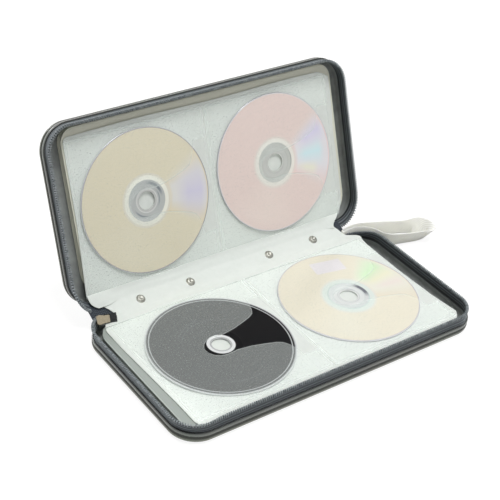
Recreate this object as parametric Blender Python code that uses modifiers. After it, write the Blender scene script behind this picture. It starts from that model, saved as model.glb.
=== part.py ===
"""A hard disc wallet with a zip round three sides, standing open like a book.

X runs along the spine, +Y from the front edge to the spine, +Z up. The origin is the
middle of the base tray's underside. Both halves are modelled as the same tray, in a frame
with its floor down and its spine at +Y; the lid's pieces hang on the fold lines.
"""

import math

import bmesh
import bpy
from mathutils import Matrix, Vector

# Discs
DISC_DIAMETER = 0.1200
DISC_HOLE = 0.0150
DISC_THICKNESS = 0.0012
STACK_RING_DIAMETER = 0.0340
STACK_RING_RISE = 0.0002
DISC_GAP = 0.0100
BASE_DISC_SHIFT = -0.0005
LID_DISC_SHIFT = 0.0040

# Leaves and pockets: the tray is as large as they need
LEAF_MARGIN = 0.0090
LEAF_FRONT_CORNER = 0.0070
LEAF_SPINE_CORNER = 0.0220
STACK_FRONT_CORNER = 0.0120
LID_LEAF_SHORT = 0.0060
LEAF_THICKNESS = 0.0006
STACK_SIDE = 0.0045
STACK_ROOM = 0.0062
LEAF_ROOM = 0.0037
BASE_LEAF_LEVEL = 0.0026
LID_LEAF_LEVEL = -0.0007
POCKET_ROOM = 0.0042
POCKET_WELD = 0.0022
POCKET_CORNER = 0.0040
FILM_THICKNESS = 0.0003

# Tray: the seam is the line round the tray where the tape leaves the shell
SEAM_CORNER = 0.0220
SEAM_HEIGHT = 0.0105
RIM_RISE = 0.0086
SHELL_WALL = 0.0012
SHELL_BULGE = 0.0015
LIP_ROUND = 0.0011
EDGE_ROUND = 0.0040
GROOVE_DEPTH = 0.0009
GROOVE_HEIGHT = 0.0026
GROOVE_LEVEL = 0.0060

# Zip
TAPE_THICKNESS = 0.0008
TAPE_TUCK = 0.0030
COIL_WIDTH = 0.0024
COIL_HEIGHT = 0.0016
CLOSED_GAP = 0.0003
ZIP_CUT_AT_SLIDER = 40.5
ZIP_CUT_AT_END = 1.5

# Slider and pull
SLIDER_LENGTH = 0.0112
SLIDER_WIDTH = 0.0080
SLIDER_TAIL_WIDTH = 0.0060
SLIDER_HEIGHT = 0.0042
SLIDER_CHANNEL_HEIGHT = 0.0024
SLIDER_CHANNEL_WIDTH = 0.0042
SLIDER_SLOT = 0.0011
SLIDER_TILT = 55.0
SLIDER_TURN = -12.0
SLIDER_BACK = 0.0047
SLIDER_ALONG = -0.0074
BAIL_WIRE = 0.0009
BAIL_LENGTH = 0.0042
BAIL_RISE = 0.0026
PULL_LENGTH = 0.0150
PULL_WIDTH = 0.0044
PULL_THICKNESS = 0.0009
PULL_WINDOW = 0.0028
END_TAB_REACH = 0.0060
END_TAB_WIDTH = 0.0076
END_TAB_THICKNESS = 0.0005
JOINED_COIL_WIDTH = 0.0032
JOINED_COIL_HEIGHT = 0.0017

# Spine band, binding and rivets
BAND_THICKNESS = 0.0008
BAND_END_GAP = 0.0040
BINDING_THICKNESS = 0.0008
BINDING_WIDTH = 0.0120
BINDING_START = 0.0008
BINDING_END_GAP = 0.0070
RIVET_SPREAD = 0.0485
RIVET_LEVEL = 0.0068
RIVET_SHANK = 0.0030
RIVET_HEAD = 0.0078
RIVET_HEAD_RISE = 0.0017
RIVET_CAP = 0.0052
RIVET_CAP_RISE = 0.0012

# Strap
STRAP_WIDTH = 0.0150
STRAP_THICKNESS = 0.0013
# Along and across from the spine corner, and how far the webbing leans out, as a sine
STRAP_ROUTE = (
    (-0.0240, 0.0000, 0.00), (-0.0095, 0.0002, 0.00), (0.0030, -0.0080, 0.00),
    (0.0120, -0.0195, 0.20), (0.0270, -0.0240, 0.34), (0.0440, -0.0276, 0.24),
    (0.0540, -0.0262, 0.05), (0.0520, -0.0195, 0.00), (0.0385, -0.0105, 0.00),
    (0.0180, -0.0045, 0.00), (-0.0040, 0.0036, 0.00), (-0.0195, 0.0032, 0.00),
)

# How far the case stands open, as a fold at each edge of the band
BAND_FOLD = 67.0
LID_FOLD = 44.6

FIT = 0.0003
CORNER_STEPS = 8
ROUND_STEPS = 40
SMALL_STEPS = 12

DISC_SPACING = DISC_DIAMETER + DISC_GAP
LEAF_WIDTH = DISC_SPACING + DISC_DIAMETER + 2 * LEAF_MARGIN
LEAF_DEPTH = DISC_DIAMETER + 2 * LEAF_MARGIN
TAPE_INSET = SHELL_WALL + FIT - SHELL_BULGE
TAPE_REACH = TAPE_INSET + TAPE_THICKNESS
SEAM_WIDTH = LEAF_WIDTH + 2 * (STACK_SIDE + STACK_ROOM + TAPE_REACH)
SEAM_DEPTH = LEAF_DEPTH + 2 * (LEAF_ROOM + TAPE_REACH)
BAND_HEIGHT = 2 * RIM_RISE
SHELL_LIP_DROP = BAND_THICKNESS / 2 + FIT
STRAP_SEAT = SHELL_BULGE + FIT + STRAP_THICKNESS / 2
SPINE_Y = SEAM_DEPTH / 2


# Scene and materials

def clear_scene():
    for item in list(bpy.data.objects):
        bpy.data.objects.remove(item, do_unlink=True)


def make_collection(name):
    collection = bpy.data.collections.new(name)
    bpy.context.scene.collection.children.link(collection)
    return collection


def make_material(name, colour, roughness, metallic=0.0, alpha=1.0):
    material = bpy.data.materials.new(name)
    material.use_nodes = True
    shader = material.node_tree.nodes["Principled BSDF"]
    shader.inputs["Base Color"].default_value = (*colour, 1.0)
    shader.inputs["Roughness"].default_value = roughness
    shader.inputs["Metallic"].default_value = metallic
    shader.inputs["Alpha"].default_value = alpha
    return material


def add_object(name, mesh, material, parent=None, collection=None):
    obj = bpy.data.objects.new(name, mesh)
    (collection or CASE).objects.link(obj)
    if material:
        mesh.materials.append(material)
    obj.parent = parent
    return obj


def add_empty(name, location, parent=None, tilt=0.0):
    empty = bpy.data.objects.new(name, None)
    empty.empty_display_size = 0.01
    CASE.objects.link(empty)
    empty.parent = parent
    empty.location = location
    empty.rotation_euler = (math.radians(tilt), 0.0, 0.0)
    return empty


def mesh_from(bm, name, sharp=35.0):
    bmesh.ops.recalc_face_normals(bm, faces=bm.faces)
    mesh = bpy.data.meshes.new(name)
    bm.to_mesh(mesh)
    bm.free()
    mesh.shade_smooth()
    mesh.set_sharp_from_angle(angle=math.radians(sharp))
    return mesh


# Outlines: a station is a point on an outline with its outward direction

def corner_stations(width, depth, radius, centre, quarter, first, last):
    """Stations on one rounded corner, between two angles in degrees."""
    sx, sy = ((1, 1), (-1, 1), (-1, -1), (1, -1))[quarter]
    middle = Vector(centre) + Vector((sx * (width / 2 - radius), sy * (depth / 2 - radius)))
    count = max(2, round(CORNER_STEPS * abs(last - first) / 90))
    found = []
    for step in range(count + 1):
        angle = math.radians(first + (last - first) * step / count)
        out = Vector((math.cos(angle), math.sin(angle)))
        found.append((middle + out * radius, out))
    return found


def closed_stations(width, depth, radius, centre=(0.0, 0.0), front_radius=None):
    """A rounded rectangle. Its two front corners may have a radius of their own."""
    found = []
    for quarter in range(4):
        rounded = front_radius if front_radius and quarter > 1 else radius
        found += corner_stations(
            width, depth, rounded, centre, quarter, 90 * quarter, 90 * (quarter + 1))
    return found


def zip_stations(left_cut, right_cut):
    """The zip's line: from the left spine corner round the front to the right spine corner."""
    size = (SEAM_WIDTH, SEAM_DEPTH, SEAM_CORNER, (0.0, 0.0))
    found = corner_stations(*size, 1, 90 + left_cut, 180)
    found += corner_stations(*size, 2, 180, 270)
    found += corner_stations(*size, 3, 270, 360)
    found += corner_stations(*size, 0, 0, 90 - right_cut)
    return found


def loft(bm, rings, closed_section=False, cap=True):
    """Faces between rings of points. A closed section joins the last ring to the first."""
    rows = [[bm.verts.new(point) for point in ring] for ring in rings]
    pairs = list(zip(rows[:-1], rows[1:]))
    if closed_section:
        pairs.append((rows[-1], rows[0]))
    for row, following in pairs:
        count = len(row)
        for i in range(count):
            j = (i + 1) % count
            bm.faces.new((row[i], row[j], following[j], following[i]))
    if cap:
        bm.faces.new(rows[0])
        bm.faces.new(rows[-1])
    return rows


def dish(name, stations, section):
    """A pan: an outline carried through a section of (outward, height), closed by two floors."""
    bm = bmesh.new()
    rings = [[(*(point + out * reach), height) for point, out in stations]
             for reach, height in section]
    loft(bm, rings)
    return mesh_from(bm, name)


def sweep(name, stations, section, sharp=35.0):
    """A closed section of (outward, height) carried along an open line, with flat ends."""
    bm = bmesh.new()
    rings = [[(*(point + out * reach), height) for reach, height in section]
             for point, out in stations]
    loft(bm, rings)
    return mesh_from(bm, name, sharp)


def offset_section(section, distance):
    """A section moved sideways by a wall's thickness, towards the tray's inside."""
    found = []
    for i, point in enumerate(section):
        before = Vector(section[max(i - 1, 0)])
        after = Vector(section[min(i + 1, len(section) - 1)])
        along = (after - before).normalized()
        inward = Vector((-along.y, along.x))
        found.append(tuple(Vector(point) + inward * distance))
    return found


def rounded_box(outward, inward, low, high, cut):
    """A section with its four corners cut."""
    return [
        (outward, low + cut), (outward, high - cut), (outward - cut, high),
        (inward + cut, high), (inward, high - cut), (inward, low + cut),
        (inward + cut, low), (outward - cut, low),
    ]


# Cutting tools

def cutter_box(name, size, location, turn=(0.0, 0.0, 0.0), parent=None):
    bm = bmesh.new()
    bmesh.ops.create_cube(bm, size=1.0)
    bmesh.ops.scale(bm, vec=size, verts=bm.verts)
    cutter = add_object(name, mesh_from(bm, name), None, parent, CUTTERS)
    cutter.location = location
    cutter.rotation_euler = turn
    cutter.hide_render = True
    cutter.display_type = "WIRE"
    return cutter


def cutter_drill(name, diameter, length, location, turn, parent=None):
    bm = bmesh.new()
    bmesh.ops.create_cone(
        bm, cap_ends=True, segments=SMALL_STEPS, radius1=diameter / 2,
        radius2=diameter / 2, depth=length)
    cutter = add_object(name, mesh_from(bm, name), None, parent, CUTTERS)
    cutter.location = location
    cutter.rotation_euler = turn
    cutter.hide_render = True
    cutter.display_type = "WIRE"
    return cutter


def combine(obj, other, operation):
    modifier = obj.modifiers.new(operation.title(), "BOOLEAN")
    modifier.operation = operation
    modifier.object = other
    modifier.solver = "EXACT"


def turned(name, profile, steps, material, parent=None):
    """A profile of (radius, height) turned about Z. It runs down its outer side."""
    mesh = bpy.data.meshes.new(name)
    points = [(radius, 0.0, height) for radius, height in profile]
    edges = [(i, (i + 1) % len(points)) for i in range(len(points))]
    if profile[0][0] == 0.0 and profile[-1][0] == 0.0:
        edges.pop()
    mesh.from_pydata(points, edges, [])
    obj = add_object(name, mesh, material, parent)
    screw = obj.modifiers.new("Turn", "SCREW")
    screw.axis = "Z"
    screw.angle = math.tau
    screw.steps = steps
    screw.render_steps = steps
    screw.use_merge_vertices = True
    screw.merge_threshold = 0.000001
    screw.use_smooth_shade = False
    return obj


# Tray shells

def shell_section():
    """The shell's outer side from its floor up to its lip: round edge, groove, rolled lip."""
    top = SEAM_HEIGHT - SHELL_LIP_DROP
    section = []
    for step in range(5):
        angle = math.radians(-90 + 90 * step / 4)
        section.append((
            SHELL_BULGE - EDGE_ROUND + EDGE_ROUND * math.cos(angle),
            EDGE_ROUND + EDGE_ROUND * math.sin(angle)))
    for step in range(5):
        share = step / 4
        dip = GROOVE_DEPTH * (1 - math.cos(math.tau * share)) / 2
        section.append((
            SHELL_BULGE - dip, GROOVE_LEVEL + GROOVE_HEIGHT * (share - 0.5)))
    for step in range(4):
        angle = math.radians(90 * step / 3)
        section.append((
            SHELL_BULGE - LIP_ROUND + LIP_ROUND * math.cos(angle),
            top - LIP_ROUND + LIP_ROUND * math.sin(angle)))
    return section


def build_shell(name, parent, location, turn, material):
    outer = shell_section()
    inner = offset_section(outer, SHELL_WALL)
    inner[0] = (outer[0][0], SHELL_WALL)
    section = outer + inner[::-1]
    stations = closed_stations(SEAM_WIDTH, SEAM_DEPTH, SEAM_CORNER)
    shell = add_object(name, dish(name, stations, section), material, parent)
    shell.location = location
    shell.rotation_euler = turn
    return shell


# Zip tape and coil

def build_zip(prefix, parent, location, turn, left_cut, right_cut):
    stations = zip_stations(left_cut, right_cut)
    coil_top = SEAM_HEIGHT + RIM_RISE - CLOSED_GAP / 2
    coil_low = coil_top - COIL_HEIGHT
    tape_middle = TAPE_INSET + TAPE_THICKNESS / 2
    tape_section = rounded_box(
        -TAPE_INSET, -TAPE_INSET - TAPE_THICKNESS,
        SEAM_HEIGHT - TAPE_TUCK, coil_low - FIT, TAPE_THICKNESS / 4)
    tape = add_object(
        prefix + "_zip_tape", sweep(prefix + "_zip_tape", stations, tape_section), TAPE, parent)
    coil_section = rounded_box(
        COIL_WIDTH / 2 - tape_middle, -COIL_WIDTH / 2 - tape_middle,
        coil_low, coil_top, COIL_HEIGHT / 4)
    coil = add_object(
        prefix + "_zip_coil", sweep(prefix + "_zip_coil", stations, coil_section), COIL, parent)
    for piece in (tape, coil):
        piece.location = location
        piece.rotation_euler = turn


# Leaves, pockets and discs

def sheet(name, stations, low, high, material, parent, location, turn):
    piece = add_object(
        name, dish(name, stations, [(0.0, low), (0.0, high)]), material, parent)
    piece.location = location
    piece.rotation_euler = turn
    return piece


def build_leaves(prefix, parent, location, turn, leaf_level, short):
    """The stack and its top leaf, which may end short of the stack at the front."""
    leaf_top = SEAM_HEIGHT + leaf_level
    leaf_low = leaf_top - LEAF_THICKNESS
    widest = LEAF_WIDTH + 2 * STACK_SIDE
    stack = closed_stations(
        widest, LEAF_DEPTH, LEAF_SPINE_CORNER, front_radius=STACK_FRONT_CORNER)
    sheet(prefix + "_leaf_stack", stack, SHELL_WALL + FIT, leaf_low - FIT,
          STACK, parent, location, turn)
    leaf = closed_stations(
        LEAF_WIDTH, LEAF_DEPTH - short, LEAF_SPINE_CORNER, (0.0, short / 2),
        LEAF_FRONT_CORNER)
    sheet(prefix + "_top_leaf", leaf, leaf_low, leaf_top, PAPER, parent, location, turn)
    return leaf_top


def build_disc(name, parent, tray, turn, place, bottom, print_material):
    """A disc with the ring that keeps stacked discs apart."""
    top = bottom + DISC_THICKNESS
    edge = DISC_THICKNESS / 4
    ring = STACK_RING_DIAMETER / 2
    profile = [
        (DISC_HOLE / 2, top), (ring - 0.0006, top), (ring, top + STACK_RING_RISE),
        (ring + 0.0006, top), (DISC_DIAMETER / 2 - edge, top),
        (DISC_DIAMETER / 2, top - edge), (DISC_DIAMETER / 2, bottom + edge),
        (DISC_DIAMETER / 2 - edge, bottom), (DISC_HOLE / 2, bottom),
    ]
    disc = turned(name, profile, ROUND_STEPS, print_material, parent)
    disc.matrix_local = (
        Matrix.Translation(tray) @ Matrix.Rotation(turn[1], 4, "Y")
        @ Matrix.Translation((*place, 0.0)))
    return disc


def build_pocket(name, parent, location, turn, place, leaf_top, disc_top):
    """Clear film over one disc: welded flat to the leaf round its edge, raised over the disc."""
    side = DISC_DIAMETER + 2 * POCKET_ROOM
    stations = closed_stations(side, side, POCKET_CORNER, place)
    foot = leaf_top + FIT
    roof = disc_top + STACK_RING_RISE + FIT
    section = [
        (-POCKET_WELD, roof), (-FILM_THICKNESS, foot + FILM_THICKNESS),
        (-FILM_THICKNESS, foot), (0.0, foot), (0.0, foot + FILM_THICKNESS),
        (-POCKET_WELD + FILM_THICKNESS / 2, roof + FILM_THICKNESS),
    ]
    film = add_object(name, dish(name, stations, section), FILM, parent)
    film.location = location
    film.rotation_euler = turn
    return film


def build_half(prefix, parent, location, turn, leaf_level, leaf_short, disc_shift,
               left_sign, prints, cuts):
    """Everything in one tray. In the lid's own frame its left is at +X."""
    build_shell(prefix + "_shell", parent, location, turn, SHELL)
    build_zip(prefix, parent, location, turn, *cuts)
    leaf_top = build_leaves(prefix, parent, location, turn, leaf_level, leaf_short)
    disc_low = leaf_top + FIT
    for word, sign, print_material in zip(("left", "right"), (left_sign, -left_sign), prints):
        place = (sign * DISC_SPACING / 2, disc_shift)
        build_disc(f"{prefix}_disc_{word}", parent, location, turn, place, disc_low,
                   print_material)
        build_pocket(f"{prefix}_pocket_film_{word}", parent, location, turn, place,
                     leaf_top, disc_low + DISC_THICKNESS)


# Spine: in the band's frame Z runs from the base's fold to the lid's, and +Y is outside

def strip(name, width, low, high, inside, outside, material, parent):
    bm = bmesh.new()
    bmesh.ops.create_cube(bm, size=1.0)
    bmesh.ops.scale(bm, vec=(width, outside - inside, high - low), verts=bm.verts)
    bmesh.ops.translate(
        bm, vec=(0.0, (inside + outside) / 2, (low + high) / 2), verts=bm.verts)
    return add_object(name, mesh_from(bm, name), material, parent)


def build_band(half_length, parent):
    """A band whose two edges are rounded about the fold lines."""
    radius = BAND_THICKNESS / 2
    section = []
    for edge, first in ((0.0, 180), (BAND_HEIGHT, 0)):
        for step in range(5):
            angle = math.radians(first + 180 * step / 4)
            section.append((radius * math.cos(angle), edge + radius * math.sin(angle)))
    bm = bmesh.new()
    loft(bm, [[(x, y, z) for y, z in section] for x in (-half_length, half_length)])
    return add_object("spine_band", mesh_from(bm, "spine_band"), BAND, parent)


def build_spine(parent):
    straight = SEAM_WIDTH - 2 * SEAM_CORNER
    band = build_band(straight / 2 - BAND_END_GAP, parent)
    binding_face = -BAND_THICKNESS / 2 - FIT
    binding = strip(
        "binding_strip", straight - 2 * BINDING_END_GAP, BINDING_START,
        BINDING_START + BINDING_WIDTH, binding_face - BINDING_THICKNESS, binding_face,
        PAPER, parent)
    quarter = math.radians(90)
    places = [side * DISC_SPACING / 2 + offset for side in (-1, 1)
              for offset in (-RIVET_SPREAD / 2, RIVET_SPREAD / 2)]
    for number, x in enumerate(places, start=1):
        drill = cutter_drill(
            f"cut_rivet_{number}", RIVET_SHANK + 2 * FIT, 0.02, (x, 0.0, RIVET_LEVEL),
            (quarter, 0.0, 0.0), parent)
        combine(band, drill, "DIFFERENCE")
        combine(binding, drill, "DIFFERENCE")
        build_rivet(number, x, binding_face - BINDING_THICKNESS - FIT, parent)


def build_rivet(number, x, head_seat, parent):
    """A domed rivet from the inside and the cap that closes on its shank outside."""
    cap_seat = BAND_THICKNESS / 2 + FIT
    cap_floor = cap_seat + RIVET_CAP_RISE / 2
    shank = RIVET_SHANK / 2
    head = RIVET_HEAD / 2
    under = -head_seat
    reach = cap_floor - FIT
    rivet = turned(f"rivet_{number}", [
        (0.0, under + RIVET_HEAD_RISE), (head * 0.55, under + RIVET_HEAD_RISE * 0.9),
        (head * 0.88, under + RIVET_HEAD_RISE * 0.5), (head, under + RIVET_HEAD_RISE * 0.15),
        (head, under), (shank, under), (shank, -reach), (0.0, -reach),
    ], SMALL_STEPS, METAL, parent)
    bore = shank + FIT
    cap = RIVET_CAP / 2
    tip = cap_seat + RIVET_CAP_RISE
    closer = turned(f"rivet_cap_{number}", [
        (0.0, -cap_floor), (bore, -cap_floor), (bore, -cap_seat), (cap, -cap_seat),
        (cap, -cap_seat - RIVET_CAP_RISE * 0.5), (cap * 0.7, -tip), (0.0, -tip),
    ], SMALL_STEPS, METAL, parent)
    for piece in (rivet, closer):
        piece.location = (x, 0.0, RIVET_LEVEL)
        piece.rotation_euler = (math.radians(90), 0.0, 0.0)


# Slider: in its own frame X points along the zip to its closed end, +Z into the case

def build_slider():
    corner = Vector((-(SEAM_WIDTH / 2 - SEAM_CORNER), SEAM_DEPTH / 2 - SEAM_CORNER))
    seat = corner + Vector((SLIDER_ALONG, SEAM_CORNER - SLIDER_BACK))
    holder = add_empty(
        "slider_seat", (seat.x, seat.y, SEAM_HEIGHT + RIM_RISE - SLIDER_HEIGHT * 0.62))
    holder.rotation_euler = (
        math.radians(SLIDER_TILT), 0.0, math.radians(SLIDER_TURN))
    length = SLIDER_LENGTH
    wide = SLIDER_WIDTH / 2
    tail = SLIDER_TAIL_WIDTH / 2
    bm = bmesh.new()
    outline = [
        (-length * 0.50, wide * 0.55), (-length * 0.50, -wide * 0.55),
        (-length * 0.40, -wide * 0.90), (-length * 0.22, -wide), (length * 0.15, -tail),
        (length * 0.42, -tail), (length * 0.50, -tail * 0.80), (length * 0.50, tail * 0.80),
        (length * 0.42, tail), (length * 0.15, tail), (-length * 0.22, wide),
        (-length * 0.40, wide * 0.90),
    ]
    half = SLIDER_HEIGHT / 2
    loft(bm, [[(x, y, z) for x, y in outline] for z in (-half, half)])
    slider = add_object("zip_slider", mesh_from(bm, "zip_slider"), METAL, holder)
    bevel = slider.modifiers.new("Edges", "BEVEL")
    bevel.width = SLIDER_HEIGHT / 10
    bevel.segments = 1
    bevel.limit_method = "ANGLE"
    bevel.angle_limit = math.radians(60)
    bm = bmesh.new()
    arch = [(-1, -0.2), (-1, 0.55), (-0.72, 1.0), (0.72, 1.0), (1, 0.55), (1, -0.2)]
    reach = BAIL_LENGTH / 2 - BAIL_WIRE / 2
    rise = BAIL_RISE - BAIL_WIRE / 2
    bail_points = [Vector((x * reach, 0.0, -half - z * rise)) for x, z in arch]
    rings = []
    for i, point in enumerate(bail_points):
        along = (bail_points[min(i + 1, len(arch) - 1)] - bail_points[max(i - 1, 0)]).normalized()
        side = along.cross(Vector((0.0, 1.0, 0.0)))
        ring = []
        for step in range(8):
            angle = math.tau * step / 8
            ring.append(point + BAIL_WIRE / 2 * (
                math.cos(angle) * side + math.sin(angle) * Vector((0.0, 1.0, 0.0))))
        rings.append(ring)
    loft(bm, rings)
    bail = add_object("cut_bail", mesh_from(bm, "cut_bail"), None, holder, CUTTERS)
    bail.hide_render = True
    bail.display_type = "WIRE"
    combine(slider, bail, "UNION")
    channel = SLIDER_CHANNEL_WIDTH
    spread = math.radians(13)
    rear = cutter_box(
        "cut_channel_rear", (length, channel, SLIDER_CHANNEL_HEIGHT),
        (length * 0.55, 0.0, 0.0), parent=holder)
    combine(slider, rear, "DIFFERENCE")
    for sign in (-1, 1):
        arm = cutter_box(
            f"cut_channel_{'left' if sign < 0 else 'right'}",
            (length * 0.8, channel * 0.5, SLIDER_CHANNEL_HEIGHT),
            (-length * 0.28, sign * wide * 0.48, 0.0), (0.0, 0.0, -sign * spread), holder)
        combine(slider, arm, "DIFFERENCE")
        slot = cutter_box(
            f"cut_slot_{'left' if sign < 0 else 'right'}",
            (length * 1.2, wide, SLIDER_SLOT), (0.0, sign * (wide / 2 + channel * 0.42), 0.0),
            parent=holder)
        combine(slider, slot, "DIFFERENCE")
    build_pull(holder, -half - rise + BAIL_WIRE / 2 + FIT + PULL_THICKNESS / 2)
    build_end_tab(holder)
    return holder


def build_pull(holder, bar_height):
    """A flat tab. Its top bar runs through the bail and swings about it."""
    hinge = bpy.data.objects.new("pull_hinge", None)
    CASE.objects.link(hinge)
    hinge.empty_display_size = 0.005
    hinge.parent = holder
    hinge.location = (0.0, 0.0, bar_height)
    bar = PULL_THICKNESS
    width = PULL_WIDTH / 2
    bm = bmesh.new()
    outline = []
    for step in range(9):
        angle = math.radians(180 * step / 8)
        outline.append((
            width * math.cos(angle),
            -(PULL_LENGTH - width) - width * math.sin(angle)))
    outline += [(-width * 0.92, bar / 2 - 0.0002), (-width * 0.75, bar / 2),
                (width * 0.75, bar / 2), (width * 0.92, bar / 2 - 0.0002)]
    loft(bm, [[(x, y, z) for y, z in outline] for x in (-bar / 2, bar / 2)])
    pull = add_object("zip_pull", mesh_from(bm, "zip_pull"), METAL, hinge)
    window_length = BAIL_WIRE + 4 * FIT
    window = cutter_box(
        "cut_pull_window", (0.01, PULL_WINDOW, window_length),
        (0.0, 0.0, -bar / 2 - window_length / 2), parent=hinge)
    combine(pull, window, "DIFFERENCE")
    lower = cutter_drill(
        "cut_pull_eye", PULL_WINDOW * 0.6, 0.01, (0.0, 0.0, -(PULL_LENGTH - width)),
        (0.0, math.radians(90), 0.0), hinge)
    combine(pull, lower, "DIFFERENCE")


def build_end_tab(holder):
    """The two tapes' joined ends, gripped in the slider's tail and tucked in past it."""
    start = SLIDER_LENGTH * 0.08
    finish = SLIDER_LENGTH / 2 + END_TAB_REACH
    bm = bmesh.new()
    half = END_TAB_THICKNESS / 2
    section_low = JOINED_COIL_HEIGHT / 2
    coil = JOINED_COIL_WIDTH / 2
    side = END_TAB_WIDTH / 2
    section = [
        (-side, -half), (-coil, -half), (-coil * 0.8, -section_low), (coil * 0.8, -section_low),
        (coil, -half), (side, -half), (side, half), (coil, half), (coil * 0.8, section_low),
        (-coil * 0.8, section_low), (-coil, half), (-side, half),
    ]
    loft(bm, [[(x, y, z) for y, z in section] for x in (start, finish)])
    add_object("zip_end_tab", mesh_from(bm, "zip_end_tab"), TAPE, holder)


# Strap

def smooth_loop(points, parts):
    """A closed smooth curve through the points."""
    found = []
    count = len(points)
    for i in range(count):
        p0, p1, p2, p3 = (Vector(points[(i + k - 1) % count]) for k in range(4))
        for part in range(parts):
            t = part / parts
            found.append(0.5 * (
                2 * p1 + (p2 - p0) * t + (2 * p0 - 5 * p1 + 4 * p2 - p3) * t ** 2
                + (3 * p1 - p0 - 3 * p2 + p3) * t ** 3))
    return found


def build_strap():
    """A loop of webbing on its edge, both ends held at the base's right spine corner."""
    corner = Vector((SEAM_WIDTH / 2, SEAM_DEPTH / 2 + STRAP_SEAT, 0.0))
    line = [corner + point for point in smooth_loop(STRAP_ROUTE, 3)]
    count = len(line)
    rings = []
    for i, point in enumerate(line):
        along = (line[(i + 1) % count] - line[i - 1]).normalized()
        out = Vector((along.y, -along.x)).normalized()
        foot = point.xy
        head = foot + out * STRAP_WIDTH * point.z
        side = out * STRAP_THICKNESS / 2
        low = FIT
        high = FIT + STRAP_WIDTH * math.sqrt(1 - point.z ** 2)
        rings.append([
            (*(foot + side), low), (*(head + side), high),
            (*(head - side), high), (*(foot - side), low)])
    bm = bmesh.new()
    loft(bm, rings, closed_section=True, cap=False)
    add_object("wrist_strap", mesh_from(bm, "wrist_strap"), WEBBING)


clear_scene()
CASE = make_collection("disc_wallet")
CUTTERS = make_collection("disc_wallet_cutters")
SHELL = make_material("smoky_shell", (0.20, 0.21, 0.18), 0.25, alpha=0.85)
TAPE = make_material("slate_tape", (0.075, 0.085, 0.10), 0.8)
COIL = make_material("dark_coil", (0.035, 0.042, 0.050), 0.5)
BAND = make_material("spine_fabric", (0.05, 0.055, 0.065), 0.85)
METAL = make_material("dull_metal", (0.48, 0.44, 0.36), 0.35, 1.0)
PAPER = make_material("white_leaf", (0.86, 0.89, 0.88), 0.7)
STACK = make_material("stacked_leaves", (0.62, 0.66, 0.62), 0.7)
FILM = make_material("clear_film", (0.75, 0.78, 0.77), 0.15, alpha=0.25)
WEBBING = make_material("webbing", (0.62, 0.61, 0.56), 0.85)
GOLD_DISC = make_material("gold_disc", (0.66, 0.62, 0.48), 0.2, 0.3)
PINK_DISC = make_material("pink_disc", (0.68, 0.58, 0.54), 0.2, 0.3)
GREY_DISC = make_material("grey_disc", (0.22, 0.24, 0.25), 0.35)
CREAM_DISC = make_material("cream_disc", (0.72, 0.70, 0.60), 0.2, 0.3)

build_half(
    "base", None, (0.0, 0.0, 0.0), (0.0, 0.0, 0.0), BASE_LEAF_LEVEL, 0.0, BASE_DISC_SHIFT, -1,
    (GREY_DISC, CREAM_DISC), (ZIP_CUT_AT_SLIDER, ZIP_CUT_AT_END))
BASE_FOLD = add_empty("base_fold", (0.0, SPINE_Y, SEAM_HEIGHT), tilt=-BAND_FOLD)
build_spine(BASE_FOLD)
LID_FOLD_LINE = add_empty("lid_fold", (0.0, 0.0, BAND_HEIGHT), BASE_FOLD, -LID_FOLD)
build_half(
    "lid", LID_FOLD_LINE, (0.0, -SPINE_Y, SEAM_HEIGHT), (0.0, math.pi, 0.0), LID_LEAF_LEVEL,
    LID_LEAF_SHORT, LID_DISC_SHIFT, 1, (GOLD_DISC, PINK_DISC), (ZIP_CUT_AT_END, ZIP_CUT_AT_SLIDER))
build_slider()
build_strap()
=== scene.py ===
import math

import bpy
from mathutils import Matrix, Vector, noise


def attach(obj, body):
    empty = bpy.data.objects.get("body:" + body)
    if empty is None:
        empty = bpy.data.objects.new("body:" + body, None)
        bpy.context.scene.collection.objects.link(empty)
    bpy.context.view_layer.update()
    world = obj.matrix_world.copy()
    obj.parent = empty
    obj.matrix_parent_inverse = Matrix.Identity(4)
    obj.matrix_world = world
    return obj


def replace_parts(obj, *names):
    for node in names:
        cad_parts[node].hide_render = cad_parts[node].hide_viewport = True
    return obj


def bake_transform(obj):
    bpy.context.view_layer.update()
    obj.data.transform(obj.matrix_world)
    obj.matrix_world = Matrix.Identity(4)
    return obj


edit = bpy.ops.mesh
set_mode = bpy.ops.object.mode_set
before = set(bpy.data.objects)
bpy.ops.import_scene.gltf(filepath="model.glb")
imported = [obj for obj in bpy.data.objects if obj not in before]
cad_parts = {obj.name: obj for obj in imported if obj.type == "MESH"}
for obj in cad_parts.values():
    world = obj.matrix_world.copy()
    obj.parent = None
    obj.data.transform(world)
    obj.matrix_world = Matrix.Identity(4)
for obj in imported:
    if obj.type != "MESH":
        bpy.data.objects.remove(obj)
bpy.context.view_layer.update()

# Camera
# The case is seen from its front left, a little above, with the lid standing behind the base.
# A long lens keeps the two trays nearly parallel, as a catalogue picture of a small thing does.
AZIMUTH = math.radians(-39.5417)
ELEVATION = math.radians(34.6673)
ROLL = math.radians(6.469)
AIM = Vector((0.0343226, 0.0974979, 0.0105))
AWAY = 1.1266679

back = Vector((
    math.sin(AZIMUTH) * math.cos(ELEVATION), -math.cos(AZIMUTH) * math.cos(ELEVATION),
    math.sin(ELEVATION)))
level = Vector((math.cos(AZIMUTH), math.sin(AZIMUTH), 0.0))
upward = back.cross(level)
right = level * math.cos(ROLL) + upward * math.sin(ROLL)
above = upward * math.cos(ROLL) - level * math.sin(ROLL)
bpy.ops.object.camera_add()
camera = bpy.context.object
camera.name = "camera"
camera.matrix_world = Matrix.LocRotScale(
    AIM + back * AWAY, Matrix((right, above, back)).transposed().to_quaternion(), None)
camera.data.lens = 93.087
camera.data.sensor_width = 36.0
camera.data.clip_start = 0.01
bpy.context.scene.camera = camera
bpy.context.scene.view_settings.view_transform = "Standard"

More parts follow.
